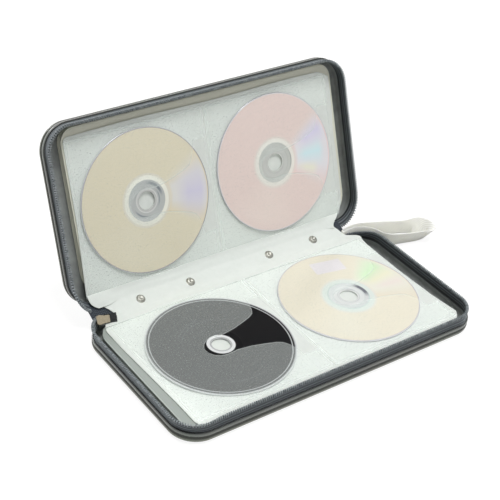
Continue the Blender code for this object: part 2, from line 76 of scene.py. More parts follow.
# Smoked shells
# The two halves of the case: shallow trays of smoky translucent polypropylene, injection
# moulded, with a full bead low on the wall, a groove, and a rolled lip that the zip is sewn to.
SEAM_WIDTH = 0.291
SEAM_DEPTH = 0.147
SEAM_CORNER = 0.022
SEAM_LEVEL = 0.0105
SHELL_WALL = 0.0012
BEAD_REACH = 0.0015
FLOOR_ROUND = 0.0040
GROOVE_LEVEL = 0.0060
GROOVE_HEIGHT = 0.0026
GROOVE_DEPTH = 0.0009
LIP_ROUND = 0.0011
LIP_TOP = 0.0098

HALF_FRONT = SEAM_WIDTH / 2 - SEAM_CORNER
SIDE_RUN = SEAM_DEPTH - 2 * SEAM_CORNER
CORNER_RUN = SEAM_CORNER * math.pi / 2
HALF_ROUND = 2 * HALF_FRONT + SIDE_RUN + 2 * CORNER_RUN

# The lid hangs on the two fold lines of the spine band
BAND_TURN = math.radians(-67.0)
LID_TURN = math.radians(-44.6)
FOLD_SPACING = 0.0172
BAND_FRAME = (
    Matrix.Translation((0.0, SEAM_DEPTH / 2, SEAM_LEVEL)) @ Matrix.Rotation(BAND_TURN, 4, "X"))
TRAYS = {"base": Matrix.Identity(4), "lid": (
    BAND_FRAME
    @ Matrix.Translation((0.0, 0.0, FOLD_SPACING)) @ Matrix.Rotation(LID_TURN, 4, "X")
    @ Matrix.Translation((0.0, -SEAM_DEPTH / 2, SEAM_LEVEL)) @ Matrix.Rotation(math.pi, 4, "Y"))}
# The lid's tray is turned over, so that its right side is on the left
SIDES = {"base": 1, "lid": -1}


def round_the_case(run):
    """The seam line's point and outward side, at a run from the middle of the front."""
    side = -1.0 if run < 0 else 1.0
    left = abs(run)
    if left < HALF_FRONT:
        point, out = (left, -SEAM_DEPTH / 2), (0.0, -1.0)
    elif left < HALF_FRONT + CORNER_RUN:
        turn = (left - HALF_FRONT) / SEAM_CORNER
        out = (math.sin(turn), -math.cos(turn))
        point = (HALF_FRONT + SEAM_CORNER * out[0], -SIDE_RUN / 2 + SEAM_CORNER * out[1])
    elif left < HALF_FRONT + CORNER_RUN + SIDE_RUN:
        point = (SEAM_WIDTH / 2, left - HALF_FRONT - CORNER_RUN - SIDE_RUN / 2)
        out = (1.0, 0.0)
    elif left < HALF_ROUND - HALF_FRONT:
        turn = (left - HALF_FRONT - CORNER_RUN - SIDE_RUN) / SEAM_CORNER
        out = (math.cos(turn), math.sin(turn))
        point = (HALF_FRONT + SEAM_CORNER * out[0], SIDE_RUN / 2 + SEAM_CORNER * out[1])
    else:
        point, out = (HALF_ROUND - left, SEAM_DEPTH / 2), (0.0, 1.0)
    return Vector((side * point[0], point[1])), Vector((side * out[0], out[1]))


def named(name):
    """The piece that was just added, with its name on it and on its mesh."""
    piece = bpy.context.object
    piece.name = name
    piece.data.name = name
    return piece


def choose(piece):
    bpy.ops.object.select_all(action="DESELECT")
    piece.select_set(True)
    bpy.context.view_layer.objects.active = piece


def drawn_line(name, points):
    """A line drawn vertex by vertex, left in edit mode with all of it selected."""
    edit.primitive_plane_add(size=0.001)
    piece = named(name)
    set_mode(mode="EDIT")
    edit.select_mode(type="VERT")
    edit.merge(type="CENTER")
    bpy.ops.transform.translate(value=points[0])
    for before, after in zip(points, points[1:]):
        edit.extrude_vertices_move(
            TRANSFORM_OT_translate={"value": Vector(after) - Vector(before)})
    edit.select_all(action="SELECT")
    edit.remove_doubles(threshold=0.000001)
    return piece


def spun(name, profile, steps):
    """A closed profile of (radius, height) spun about Z."""
    piece = drawn_line(name, [(radius, 0.0, height) for radius, height in profile])
    edit.select_mode(type="EDGE")
    edit.select_all(action="SELECT")
    edit.spin(steps=steps, angle=math.tau, center=(0, 0, 0), axis=(0, 0, 1))
    ends_closed()
    return piece


def pulled_along(runs):
    """Extrudes the section that was just drawn along X, from run to run."""
    edit.select_mode(type="EDGE")
    edit.select_all(action="SELECT")
    bpy.ops.transform.translate(value=(runs[0], 0.0, 0.0))
    for before, after in zip(runs, runs[1:]):
        edit.extrude_edges_move(
            TRANSFORM_OT_translate={"value": (after - before, 0.0, 0.0)})


def ends_closed():
    """Fills the open ends, turns the faces outward and leaves edit mode."""
    edit.select_all(action="SELECT")
    edit.remove_doubles(threshold=0.000002)
    edit.fill_holes(sides=0)
    edit.select_all(action="SELECT")
    edit.normals_make_consistent(inside=False)
    set_mode(mode="OBJECT")


def pattern_laid(piece, rule):
    """Writes the piece's UV map in millimetres, from a rule on each vertex's place."""
    layer = piece.data.uv_layers.get("pattern") or piece.data.uv_layers.new(name="pattern")
    places = [rule(vertex.co) for vertex in piece.data.vertices]
    for loop in piece.data.loops:
        across, along = places[loop.vertex_index]
        layer.data[loop.index].uv = (across * 1000, along * 1000)
    for other in list(piece.data.uv_layers):
        if other.name != "pattern":
            piece.data.uv_layers.remove(other)


def opened(piece):
    """Takes the piece into edit mode with all of it selected."""
    choose(piece)
    set_mode(mode="EDIT")
    edit.select_all(action="SELECT")


def faces_outward(piece):
    opened(piece)
    edit.remove_doubles(threshold=0.000002)
    edit.normals_make_consistent(inside=False)
    set_mode(mode="OBJECT")


def smoothed(piece, angle):
    choose(piece)
    bpy.ops.object.shade_smooth_by_angle(angle=math.radians(angle))


def thickened(piece, thickness, offset):
    sheet = piece.modifiers.new("Sheet", "SOLIDIFY")
    sheet.thickness = thickness
    sheet.offset = offset
    modifiers_applied(piece)


def modifiers_applied(piece):
    choose(piece)
    for name in [modifier.name for modifier in piece.modifiers]:
        bpy.ops.object.modifier_apply(modifier=name)


def runs_between(first, last, step, corner_steps):
    """Runs along the seam line, closer together on the corners."""
    ends = [HALF_FRONT, HALF_FRONT + CORNER_RUN, HALF_FRONT + CORNER_RUN + SIDE_RUN,
            HALF_ROUND - HALF_FRONT]
    marks = sorted({first, last, *(-e for e in ends), *ends})
    marks = [mark for mark in marks if first <= mark <= last]
    found = [first]
    for low, high in zip(marks, marks[1:]):
        middle = abs(low + high) / 2
        on_corner = ends[0] < middle < ends[1] or ends[2] < middle < ends[3]
        spacing = CORNER_RUN / corner_steps if on_corner else step
        count = max(1, round((high - low) / spacing))
        found += [low + (high - low) * (k + 1) / count for k in range(count)]
    return found


def linear(code):
    """An sRGB hex colour as linear red, green, blue and alpha."""
    found = []
    for place in (1, 3, 5):
        value = int(code[place:place + 2], 16) / 255
        found.append(value / 12.92 if value <= 0.04045 else ((value + 0.055) / 1.055) ** 2.4)
    return (*found, 1.0)


def new_finish(name):
    """A material with its tree and its shader."""
    material = bpy.data.materials.new(name)
    material.use_nodes = True
    tree = material.node_tree
    return material, tree, tree.nodes["Principled BSDF"]


def feed(tree, node, inputs):
    """Sets a node's inputs: by name, in their order as a tuple, or the first one alone.

    Each is a value, a hex colour, a node or one of its outputs.
    """
    if not isinstance(inputs, (dict, tuple)):
        inputs = (inputs,)
    for socket, value in inputs.items() if isinstance(inputs, dict) else enumerate(inputs):
        if isinstance(value, bpy.types.Node):
            value = value.outputs[0]
        if isinstance(value, bpy.types.NodeSocket):
            tree.links.new(value, node.inputs[socket])
        else:
            value = linear(value) if isinstance(value, str) else value
            node.inputs[socket].default_value = value


def add_node(tree, kind, inputs=(), stops=None, **settings):
    """A shader node with its settings. A ramp's stops are hex colours or shares of white."""
    made = tree.nodes.new("ShaderNode" + kind)
    for name, value in settings.items():
        setattr(made, name, value)
    if stops:
        ramp = made.color_ramp
        while len(ramp.elements) < len(stops):
            ramp.elements.new(1.0)
        for element, (place, tint) in zip(ramp.elements, stops):
            element.position = place
            element.color = linear(tint) if isinstance(tint, str) else (tint, tint, tint, 1)
    feed(tree, made, inputs)
    return made


def shell_wall():
    """The wall's section: up the outside from the floor, over the lip, down the inside."""
    outside = []
    for step in range(9):
        angle = math.radians(-90 + 90 * step / 8)
        outside.append((
            BEAD_REACH - FLOOR_ROUND + FLOOR_ROUND * math.cos(angle),
            FLOOR_ROUND + FLOOR_ROUND * math.sin(angle)))
    for step in range(11):
        share = step / 10
        dip = GROOVE_DEPTH * (1 - math.cos(math.tau * share)) / 2
        outside.append((BEAD_REACH - dip, GROOVE_LEVEL + GROOVE_HEIGHT * (share - 0.5)))
    for step in range(7):
        angle = math.radians(90 * step / 6)
        outside.append((
            BEAD_REACH - LIP_ROUND + LIP_ROUND * math.cos(angle),
            LIP_TOP - LIP_ROUND + LIP_ROUND * math.sin(angle)))
    inside = [(BEAD_REACH - FLOOR_ROUND, SHELL_WALL)]
    for before, point, after in zip(outside, outside[1:], outside[2:] + outside[-1:]):
        along = (Vector(after) - Vector(before)).normalized()
        inside.append((point[0] - along.y * SHELL_WALL, point[1] + along.x * SHELL_WALL))
    inside[-1] = (outside[-1][0] - 0.0004, LIP_TOP - 0.0003)
    return outside + inside[::-1]


def make_shell(name, body):
    wall = [(0.0, reach, height) for reach, height in shell_wall()]
    shell = drawn_line(name, wall)
    pulled_along(runs_between(-HALF_ROUND, HALF_ROUND, 0.05, 14))
    set_mode(mode="OBJECT")
    for vertex in shell.data.vertices:
        point, out = round_the_case(vertex.co.x)
        place = point + out * vertex.co.y
        vertex.co = (place.x, place.y, vertex.co.z)
    set_mode(mode="EDIT")
    ends_closed()
    pattern_laid(shell, lambda co: (co.x + co.y, co.z))
    shell.data.materials.append(smoked_polypropylene)
    shell.data.materials.append(etched_inside_painted_light)
    for face in shell.data.polygons:
        middle = face.center
        core = Vector((
            min(HALF_FRONT, max(-HALF_FRONT, middle.x)),
            min(SIDE_RUN / 2, max(-SIDE_RUN / 2, middle.y))))
        out = (middle.xy - core).normalized()
        if face.normal.xy.dot(out) < -0.2 or (face.normal.z > 0.5 and middle.z < 0.004):
            face.material_index = 1
    shell.data.transform(TRAYS[body])
    smoothed(shell, 40)
    return shell


# Smoked polypropylene: glossy and deep olive grey, with painted shade and a painted highlight on
# its wall
smoked_polypropylene, tree, shader = new_finish("smoked_polypropylene")
where = add_node(tree, "TexCoord")
height = add_node(tree, "SeparateXYZ", where.outputs["UV"])
# The tint follows the wall's height in millimetres, over its 10 mm: painted shade darkens the
# groove and the seam line at the lip's top, and a painted highlight lightens the band above the
# groove
share = add_node(tree, "Math", (height.outputs["Y"], 10.0), operation="DIVIDE")
tint = add_node(tree, "ValToRGB", share, stops=[
    (0.00, "#8c8f82"), (0.36, "#868a7c"), (0.50, "#3a3d36"), (0.66, "#454840"), (0.78, "#8d918b"),
    (0.90, "#7b7f7a"), (0.97, "#2a2d2c")])
# Flow marks of the moulding, 30 mm across
flow = add_node(tree, "TexNoise", {
    "Vector": where.outputs["Object"], "Scale": 33.0, "Detail": 3.0})
flowed = add_node(tree, "Mix", {
    "Factor": 0.12, 6: tint, 7: flow.outputs["Color"]}, data_type="RGBA", blend_type="SOFT_LIGHT")
# Handling scuffs about 1.5 mm across break up the gloss
scuff = add_node(tree, "TexNoise", {
    "Vector": where.outputs["Object"], "Scale": 650.0, "Detail": 4.0})
gloss = add_node(tree, "MapRange", (scuff, 0.0, 1.0, 0.16, 0.34))
dimple = add_node(tree, "Bump", {"Strength": 0.08, "Distance": 0.0002, "Height": scuff})
feed(tree, shader, {
    "Base Color": flowed.outputs[2], "Roughness": gloss, "Normal": dimple, "IOR": 1.49})

# The same plastic from inside, where the mould was etched matt. Its colour is painted paler, in
# soft
# clouds: painted light for the light that comes through the wall
etched_inside_painted_light, tree, shader = new_finish("etched_smoked_polypropylene")
where = add_node(tree, "TexCoord")
clouds = add_node(tree, "TexNoise", {
    "Vector": where.outputs["Object"], "Scale": 120.0, "Detail": 4.0})
inside_painted_light_tint = add_node(tree, "ValToRGB", clouds, stops=[(0.3, "#8b8f8e"), (0.7, "#a3a7a5")])
# Etching grain, 0.4 mm
etch = add_node(tree, "TexNoise", {
    "Vector": where.outputs["Object"], "Scale": 2500.0, "Detail": 2.0})
etched = add_node(tree, "Bump", {"Strength": 0.2, "Distance": 0.0001, "Height": etch})
feed(tree, shader, {"Base Color": inside_painted_light_tint, "Normal": etched, "Roughness": 0.55})

for body in TRAYS:
    shell = make_shell(f"{body}_tray", body)
    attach(shell, body)
    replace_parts(shell, f"{body}_shell")

# Zip tapes
# A slate grey polyester tape stands on each shell's lip, all round but for the spine. It is
# woven with ribs along its length, sewn to the shell, and soft enough to lean and to dip.
TAPE_THICKNESS = 0.0008
TAPE_FOOT = 0.0075
TAPE_HEAD = 0.0174
RIM_TOP = 0.01895
ZIP_AT_SLIDER = HALF_FRONT + CORNER_RUN + SIDE_RUN + SEAM_CORNER * math.radians(63.0)
ZIP_AT_END = HALF_FRONT + CORNER_RUN + SIDE_RUN + SEAM_CORNER * math.radians(88.5)
DIP_LENGTH = 0.038
SAG_START = 0.045
SAG = {"base": 0.0010, "lid": 0.0068}


def eased(value):
    value = min(1.0, max(0.0, value))
    return value * value * (3 - 2 * value)


def rim_lean(run, body):
    """How far the rim leans outward, at the rim's top. Runs go the other way in the lid."""
    left = -run if body == "base" else run
    on_left = eased((left - 0.105) / 0.04) * eased((0.300 - left) / 0.05)
    return (0.0028 if body == "base" else 0.0012) * on_left


def rim_drop(run, body):
    """How far the rim sinks towards the zip's closed-off end, at the right spine corner."""
    to_end = ZIP_AT_END - (run if body == "base" else -run)
    return 0.0060 * (1 - eased(to_end / DIP_LENGTH))


def hung_on_lid(piece):
    """Bakes a lid zip piece's transform into its mesh, and leaves it unattached to a body."""
    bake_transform(piece)


def bent_round(piece, body, stiff=False):
    """Lays a straight piece round the case. A stiff one drops whole, a soft one shrinks."""
    for vertex in piece.data.vertices:
        run, reach, height = vertex.co
        point, out = round_the_case(run)
        rise = max(0.0, height - SEAM_LEVEL)
        share = 1.0 if stiff else min(1.0, rise / (RIM_TOP - SEAM_LEVEL))
        reach += rim_lean(run, body) * rise / (RIM_TOP - SEAM_LEVEL)
        place = point + out * reach
        # Past the shell's corner the cloth hangs free, and sags towards the spine
        sag = SAG[body] * eased((place.y - SAG_START) / (SEAM_DEPTH / 2 - SAG_START))
        sag *= eased((height - LIP_TOP) / (RIM_TOP - LIP_TOP))
        vertex.co = (place.x, place.y + sag, height - rim_drop(run, body) * share)
    faces_outward(piece)
    piece.data.transform(TRAYS[body])


def zip_runs(body):
    if body == "base":
        return -ZIP_AT_SLIDER, ZIP_AT_END
    return -ZIP_AT_END, ZIP_AT_SLIDER


def make_tape(name, body):
    cut = TAPE_THICKNESS / 4
    outer = 0.0
    inner = -TAPE_THICKNESS
    section = [
        (outer, TAPE_FOOT + cut), (outer, 0.0100), (outer, 0.0125), (outer, 0.0150),
        (outer, TAPE_HEAD - cut), (outer - cut, TAPE_HEAD), (inner + cut, TAPE_HEAD),
        (inner, TAPE_HEAD - cut), (inner, 0.0150), (inner, 0.0125), (inner, 0.0100),
        (inner, TAPE_FOOT + cut), (inner + cut, TAPE_FOOT), (outer - cut, TAPE_FOOT),
        (outer, TAPE_FOOT + cut)]
    tape = drawn_line(name, [(0.0, reach, height) for reach, height in section])
    pulled_along(runs_between(*zip_runs(body), 0.006, 14))
    ends_closed()
    pattern_laid(tape, lambda co: (co.x, co.z))
    bent_round(tape, body)
    smoothed(tape, 50)
    return tape


# Ribbed polyester weave: matt slate grey, with pale and dark ribs along it
ribbed_tape, tree, shader = new_finish("ribbed_polyester_tape")
where = add_node(tree, "TexCoord")
across = add_node(tree, "SeparateXYZ", where.outputs["UV"])
# Ribs 2.6 mm apart: the real ones are a third of that, too fine to show in the render
rib = add_node(tree, "Math", (across.outputs["Y"], math.tau / 2.6), operation="MULTIPLY")
ribs = add_node(tree, "Math", rib, operation="SINE")
rib_tint = add_node(tree, "MapRange", (ribs, -1.0, 1.0))
# Threads across the tape, 0.7 mm apart
thread = add_node(tree, "Math", (across.outputs["X"], math.tau / 0.7), operation="MULTIPLY")
threads = add_node(tree, "Math", thread, operation="SINE")
cloth = add_node(tree, "TexNoise", {
    "Vector": where.outputs["Object"], "Scale": 900.0, "Detail": 3.0})
weave_tint = add_node(tree, "ValToRGB", rib_tint, stops=[
    (0.0, "#2c3135"), (0.45, "#3d4347"), (1.0, "#6a7175")])
worn = add_node(tree, "Mix", {
    "Factor": 0.35, 6: weave_tint, 7: cloth.outputs["Color"]}, data_type="RGBA",
    blend_type="SOFT_LIGHT")
# The seam line, where the tape goes down behind the lip, is painted near black: painted shadow in
# the seam, with its dark thread
foot = add_node(tree, "MapRange", (across.outputs["Y"], 10.6, 11.3, 0.12))
seam_painted_shadow = add_node(tree, "Mix", {
    "Factor": 1.0, 6: worn.outputs[2], 7: foot}, data_type="RGBA", blend_type="MULTIPLY")
relief = add_node(tree, "Math", (threads, 0.4, ribs), operation="MULTIPLY_ADD")
weave_bump = add_node(tree, "Bump", {"Strength": 0.5, "Distance": 0.0002, "Height": relief})
feed(tree, shader, {
    "Base Color": seam_painted_shadow.outputs[2], "Normal": weave_bump, "Roughness": 0.70, "Sheen Weight": 0.8,
    "Sheen Roughness": 0.35, "Sheen Tint": "#c3ced2"})

for body in TRAYS:
    tape = make_tape(f"{body}_tape", body)
    tape.data.materials.append(ribbed_tape)
    if body == "lid":
        hung_on_lid(tape)
    else:
        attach(tape, body)
    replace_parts(tape, f"{body}_zip_tape")

# Zip coils
# A coil of nylon monofilament is sewn along each tape's free edge. One loop of the coil is
# modelled as a rounded bar across the edge, then repeated at the coil's pitch.
COIL_PITCH = 0.0019
COIL_MIDDLE = -0.0008
COIL_WIDTH = 0.0024
COIL_LOW = 0.01700


def make_coil(name, body):
    first, last = zip_runs(body)
    count = int((last - first) / COIL_PITCH)
    edit.primitive_cube_add(size=1.0)
    coil = named(name)
    set_mode(mode="EDIT")
    edit.select_all(action="SELECT")
    bpy.ops.transform.resize(value=(COIL_PITCH * 0.56, COIL_WIDTH, RIM_TOP - COIL_LOW))
    edit.bevel(offset=0.00042, segments=2, profile=0.6, affect="EDGES")
    bpy.ops.transform.translate(value=(
        first + COIL_PITCH / 2, COIL_MIDDLE, (RIM_TOP + COIL_LOW) / 2))
    set_mode(mode="OBJECT")
    repeat = coil.modifiers.new("Loops", "ARRAY")
    repeat.use_relative_offset = False
    repeat.use_constant_offset = True
    repeat.constant_offset_displace = (COIL_PITCH, 0.0, 0.0)
    repeat.count = count
    modifiers_applied(coil)
    bent_round(coil, body, stiff=True)
    smoothed(coil, 60)
    return coil


# Nylon monofilament: blue grey, half glossy, each loop a little different
nylon_coil, tree, shader = new_finish("nylon_monofilament")
where = add_node(tree, "TexCoord")
loops = add_node(tree, "TexNoise", {
    "Vector": where.outputs["Object"], "Scale": 420.0, "Detail": 2.0})
loop_tint = add_node(tree, "ValToRGB", loops, stops=[(0.3, "#5f676b"), (0.7, "#a3aaad")])
feed(tree, shader, {"Base Color": loop_tint, "Roughness": 0.42, "IOR": 1.53})

for body in TRAYS:
    coil = make_coil(f"{body}_coil", body)
    coil.data.materials.append(nylon_coil)
    if body == "lid":
        hung_on_lid(coil)
    else:
        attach(coil, body)
    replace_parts(coil, f"{body}_zip_coil")

# Leaf stacks
# Under the top leaf of each half lie the other leaves with their pockets, seen only as a pile
# of soft sheet edges between the page and the wall. Each sheet lies a little differently.
STACK_LEFT = {"base": -0.1395, "lid": -0.1305}
STACK_RIGHT = {"base": 0.1285, "lid": 0.1365}
STACK_DEPTH = 0.138
STACK_FRONT_CORNER = 0.012
STACK_SPINE_CORNER = 0.020
STACK_LOW = 0.0018
SHEETS = 5
LEAF_THICKNESS = 0.0006
LEVEL = {"base": 0.0131, "lid": 0.0098}


def make_stack(name, body):
    top = LEVEL[body] - LEAF_THICKNESS - 0.0004
    side = SIDES[body]
    width = STACK_RIGHT[body] - STACK_LEFT[body]
    middle = side * (STACK_RIGHT[body] + STACK_LEFT[body]) / 2
    pitch = (top - STACK_LOW) / SHEETS
    made = []
    for number in range(SHEETS):
        edit.primitive_plane_add(size=1.0)
        page = bpy.context.object
        made.append(page)
        shift = 0.0010 * math.sin(number * 2.4)
        low = STACK_LOW + pitch * number
        set_mode(mode="EDIT")
        bpy.ops.transform.resize(value=(width - abs(shift) * 2, STACK_DEPTH, 1.0))
        for corner, at_spine in ((STACK_FRONT_CORNER, False), (STACK_SPINE_CORNER, True)):
            edit.select_all(action="DESELECT")
            set_mode(mode="OBJECT")
            for vertex in page.data.vertices:
                if abs(abs(vertex.co.y) - STACK_DEPTH / 2) < 0.0001:
                    vertex.select = (vertex.co.y > 0) == at_spine
            set_mode(mode="EDIT")
            edit.bevel(offset=corner, segments=8, affect="VERTICES", profile=0.5)
        edit.select_all(action="SELECT")
        bpy.ops.transform.translate(value=(middle + shift / 2, shift / 2, low))
        edit.extrude_region_move(
            TRANSFORM_OT_translate={"value": (0.0, 0.0, pitch - 0.0005)})
        edit.select_all(action="SELECT")
        edit.normals_make_consistent(inside=False)
        set_mode(mode="OBJECT")
    choose(made[0])
    for page in made:
        page.select_set(True)
    bpy.ops.object.join()
    stack = named(name)
    edges = stack.modifiers.new("Soft edges", "BEVEL")
    edges.width = 0.0003
    edges.segments = 2
    modifiers_applied(stack)
    pattern_laid(stack, lambda co: (side * co.x, side * co.y))
    stack.data.transform(TRAYS[body])
    smoothed(stack, 40)
    return stack


def stacked_finish(name, left_edge, painted_shade_strip, rest):
    """Stacked non-woven, greyer and darker down its left side as painted shade, most in a strip
    beside the page.
    """
    material, tree, shader = new_finish(name)
    where = add_node(tree, "TexCoord")
    # Fibres 0.5 mm long
    fibres = add_node(tree, "TexNoise", {
        "Vector": where.outputs["Object"], "Scale": 1400.0, "Detail": 3.0})
    side = add_node(tree, "SeparateXYZ", where.outputs["UV"])
    across = add_node(tree, "MapRange", (side.outputs["X"], -140.0, -124.0))
    # Painted shade: the left edge, then a darker strip beside the page, then the sheet's own
    # colour
    lean = add_node(tree, "ValToRGB", across, stops=[
        (0.0, left_edge), (0.12, painted_shade_strip), (0.8, painted_shade_strip), (1.0, rest)])
    fibrous = add_node(tree, "Mix", {
        "Factor": 0.2, 6: lean, 7: fibres.outputs["Color"]}, data_type="RGBA",
        blend_type="SOFT_LIGHT")
    feed(tree, shader, {"Base Color": fibrous.outputs[2], "Roughness": 0.75})
    return material


stacked_leaves = {
    "base": stacked_finish("stacked_non_woven_base", "#c9d0ca", "#aab2ac", "#e3e7e1"),
    "lid": stacked_finish("stacked_non_woven_lid", "#f3f3e2", "#f3f3e2", "#f3f3e2")}

for body in TRAYS:
    stack = make_stack(f"{body}_stack", body)
    stack.data.materials.append(stacked_leaves[body])
    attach(stack, body)
    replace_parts(stack, f"{body}_leaf_stack")

# Top leaves
# The page that shows in each half is a soft white non-woven sheet, embossed with fine points
# and welded to its film pockets. Its corners are clipped and it lies in slow waves.
PAGE_FRONT = {"base": -0.0684, "lid": -0.0630}
PAGE_SPINE = 0.069
# Each page's outline as seen from the front of the case, in millimetres: (depth, edge)
PAGE_LEFT = {
    "base": ((-68.4, -126.5), (-66.6, -129.8), (-63, -131.2), (-36, -131.2), (33, -133.3),
             (59, -133.3), (65.4, -130.2), (69, -124.2)),
    "lid": ((-63, -125.4), (-61.6, -127.8), (-59, -128.8), (11, -129.0), (40, -130.5),
            (69, -131.8))}
PAGE_RIGHT = {
    "base": ((-68.4, 124.6), (-64.6, 130.0), (-59.5, 133.4), (-32, 130.2), (9.9, 128.9),
             (52.7, 129.9), (65.6, 132.0), (69, 128.4)),
    "lid": ((-63, 122.0), (-60.8, 127.6), (-57.2, 133.6), (-44, 133.8), (-7, 132.2),
            (34, 133.0), (57, 132.7), (64, 129.6), (69, 125.2))}


def outline_at(points, depth):
    """The outline's place at a depth, in metres, between its points."""
    depth *= 1000
    for (low, first), (high, last) in zip(points, points[1:]):
        if depth <= high:
            share = max(0.0, (depth - low) / (high - low))
            return (first + (last - first) * share) / 1000
    return points[-1][1] / 1000


def page_level(x, y, body):
    """Slow waves in the page, and its left side sinking away from the pile's middle."""
    seed = 3.1 if body == "base" else 11.7
    wave = 0.00030 * noise.noise(Vector((x * 28 + seed, y * 28, seed)))
    edge = abs(outline_at(PAGE_LEFT[body], y))
    sink = eased((-x - edge + 0.030) / 0.030)
    return wave - (0.0004 if body == "base" else 0.0006) * sink


def make_page(name, body):
    edit.primitive_grid_add(x_subdivisions=90, y_subdivisions=70, size=1.0)
    page = named(name)
    side = SIDES[body]
    for vertex in page.data.vertices:
        # The rows are closer together near the clipped corners
        across = math.copysign(1 - (1 - abs(vertex.co.y * 2)) ** 1.5, vertex.co.y)
        y = PAGE_FRONT[body] + (PAGE_SPINE - PAGE_FRONT[body]) * (across + 1) / 2
        left = outline_at(PAGE_LEFT[body], y)
        x = left + (outline_at(PAGE_RIGHT[body], y) - left) * (vertex.co.x + 0.5)
        # The front edge is not quite straight
        trim = 0.0005 * math.sin(x * 42 + 1.0) * eased((-across - 0.6) / 0.4)
        vertex.co = (side * x, y + trim, LEVEL[body] - 0.0001 + page_level(x, y, body))
    pattern_laid(page, lambda co: (side * co.x, side * co.y))
    faces_up(page)
    thickened(page, 0.0005, -1.0)
    page.data.transform(TRAYS[body])
    smoothed(page, 50)
    return page


def faces_up(sheet):
    """Turns an open, level sheet so that its faces look up."""
    if sheet.data.polygons[0].normal.z < 0:
        opened(sheet)
        edit.flip_normals()
        set_mode(mode="OBJECT")


# Embossed non-woven: soft white, fully matt, with small pressed points and cloudy fibres
embossed_leaf, tree, shader = new_finish("embossed_non_woven")
where = add_node(tree, "TexCoord")
cloud = add_node(tree, "TexNoise", {
    "Vector": where.outputs["Object"], "Scale": 260.0, "Detail": 5.0, "Roughness": 0.65})
leaf_tint = add_node(tree, "ValToRGB", cloud, stops=[(0.25, "#eaf0ea"), (0.75, "#f1f6f1")])
# Pressed points 1.6 mm apart: 1 mm on the real sheet, drawn coarser so that they show
points = add_node(tree, "TexVoronoi", {
    "Vector": where.outputs["Object"], "Scale": 625.0, "Randomness": 0.35})
press = add_node(tree, "Bump", {"Strength": 0.22, "Distance": 0.0002, "Height": points})
lie = add_node(tree, "Bump", {
    "Strength": 0.12, "Distance": 0.0006, "Height": cloud, "Normal": press})
feed(tree, shader, {"Base Color": leaf_tint, "Normal": lie, "Roughness": 0.8, "Sheen Weight": 0.1})

for body in TRAYS:
    page = make_page(f"{body}_page", body)
    page.data.materials.append(embossed_leaf)
    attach(page, body)
    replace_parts(page, f"{body}_top_leaf")

# Discs
# Four 120 mm discs, pressed in clear polycarbonate: a clear hub with a moulded ring at 34 mm,
# a mirror band, then the printed or dyed field, and a clear bead at the rim.
DISC_RADIUS = 0.060
DISC_THICKNESS = 0.0012
DISC_LIFT = 0.0003
DISC_PLACE = {
    "base_disc_left": ("base", -0.065, -0.0005), "base_disc_right": ("base", 0.065, -0.0005),
    "lid_disc_left": ("lid", 0.065, 0.0040), "lid_disc_right": ("lid", -0.065, 0.0040)}


def make_disc(name, low, place, body):
    side = SIDES[body]
    top = low + DISC_THICKNESS
    edge = 0.0003
    profile = [
        (0.0075, low), (0.0075, top), (0.0160, top), (0.0166, top + 0.0001),
        (0.0170, top + 0.0002), (0.0174, top + 0.0001), (0.0180, top), (0.0225, top),
        (0.0597, top), (DISC_RADIUS, top - edge), (DISC_RADIUS, low + edge),
        (0.0597, low), (0.0075, low)]
    disc = spun(name, profile, 120)
    pattern_laid(disc, lambda co: (side * co.x, side * co.y))
    disc.data.transform(Matrix.Translation((*place, 0.0)))
    disc.data.transform(TRAYS[body])
    smoothed(disc, 30)
    return disc


def disc_polar(tree):
    """The radius in millimetres and the angle, as a share of a turn, on the disc's own map."""
    where = add_node(tree, "TexCoord")
    radius = add_node(tree, "VectorMath", where.outputs["UV"], operation="LENGTH")
    parts = add_node(tree, "SeparateXYZ", where.outputs["UV"])
    angle = add_node(tree, "Math", (parts.outputs["Y"], parts.outputs["X"]), operation="ARCTAN2")
    share = add_node(tree, "MapRange", (angle, -math.pi, math.pi))
    reach = add_node(tree, "Math", (radius.outputs["Value"], 60.0), operation="DIVIDE")
    return reach, share


def layered(tree, under, over, amount):
    """One colour laid over another by an amount."""
    mixed = add_node(tree, "Mix", {"Factor": amount, 6: under, 7: over}, data_type="RGBA")
    return mixed.outputs[2]


def ringed(tree, reach, rings):
    """Colours by radius: each ring is (outer radius in mm, colour)."""
    stops = []
    before = 0.0
    for outer, code in rings:
        stops.append((before / 60 + 0.002, code))
        stops.append((outer / 60 - 0.002, code))
        before = outer
    return add_node(tree, "ValToRGB", reach, stops=stops)


def arc_laid(tree, under, polar, radii, angles, code, strength, soft=0.006):
    """A soft-ended arc of another colour over what is there. Angles are in degrees."""
    reach, share = polar
    low, high = (radius / 60 for radius in radii)
    band = add_node(tree, "ValToRGB", reach, stops=[
        (low - soft, 0), (low + soft, 1), (high - soft, 1), (high + min(soft, 0.006), 0)])
    first, last = ((angle + 180) / 360 for angle in angles)
    fade = (last - first) * (0.5 if soft > 0.01 else 0.3)
    sweep = add_node(tree, "ValToRGB", share, stops=[
        (first, 0), (first + fade, strength), (last - fade, strength), (last, 0)])
    amount = add_node(tree, "Math", (band, sweep), operation="MULTIPLY")
    return layered(tree, under, code, amount)


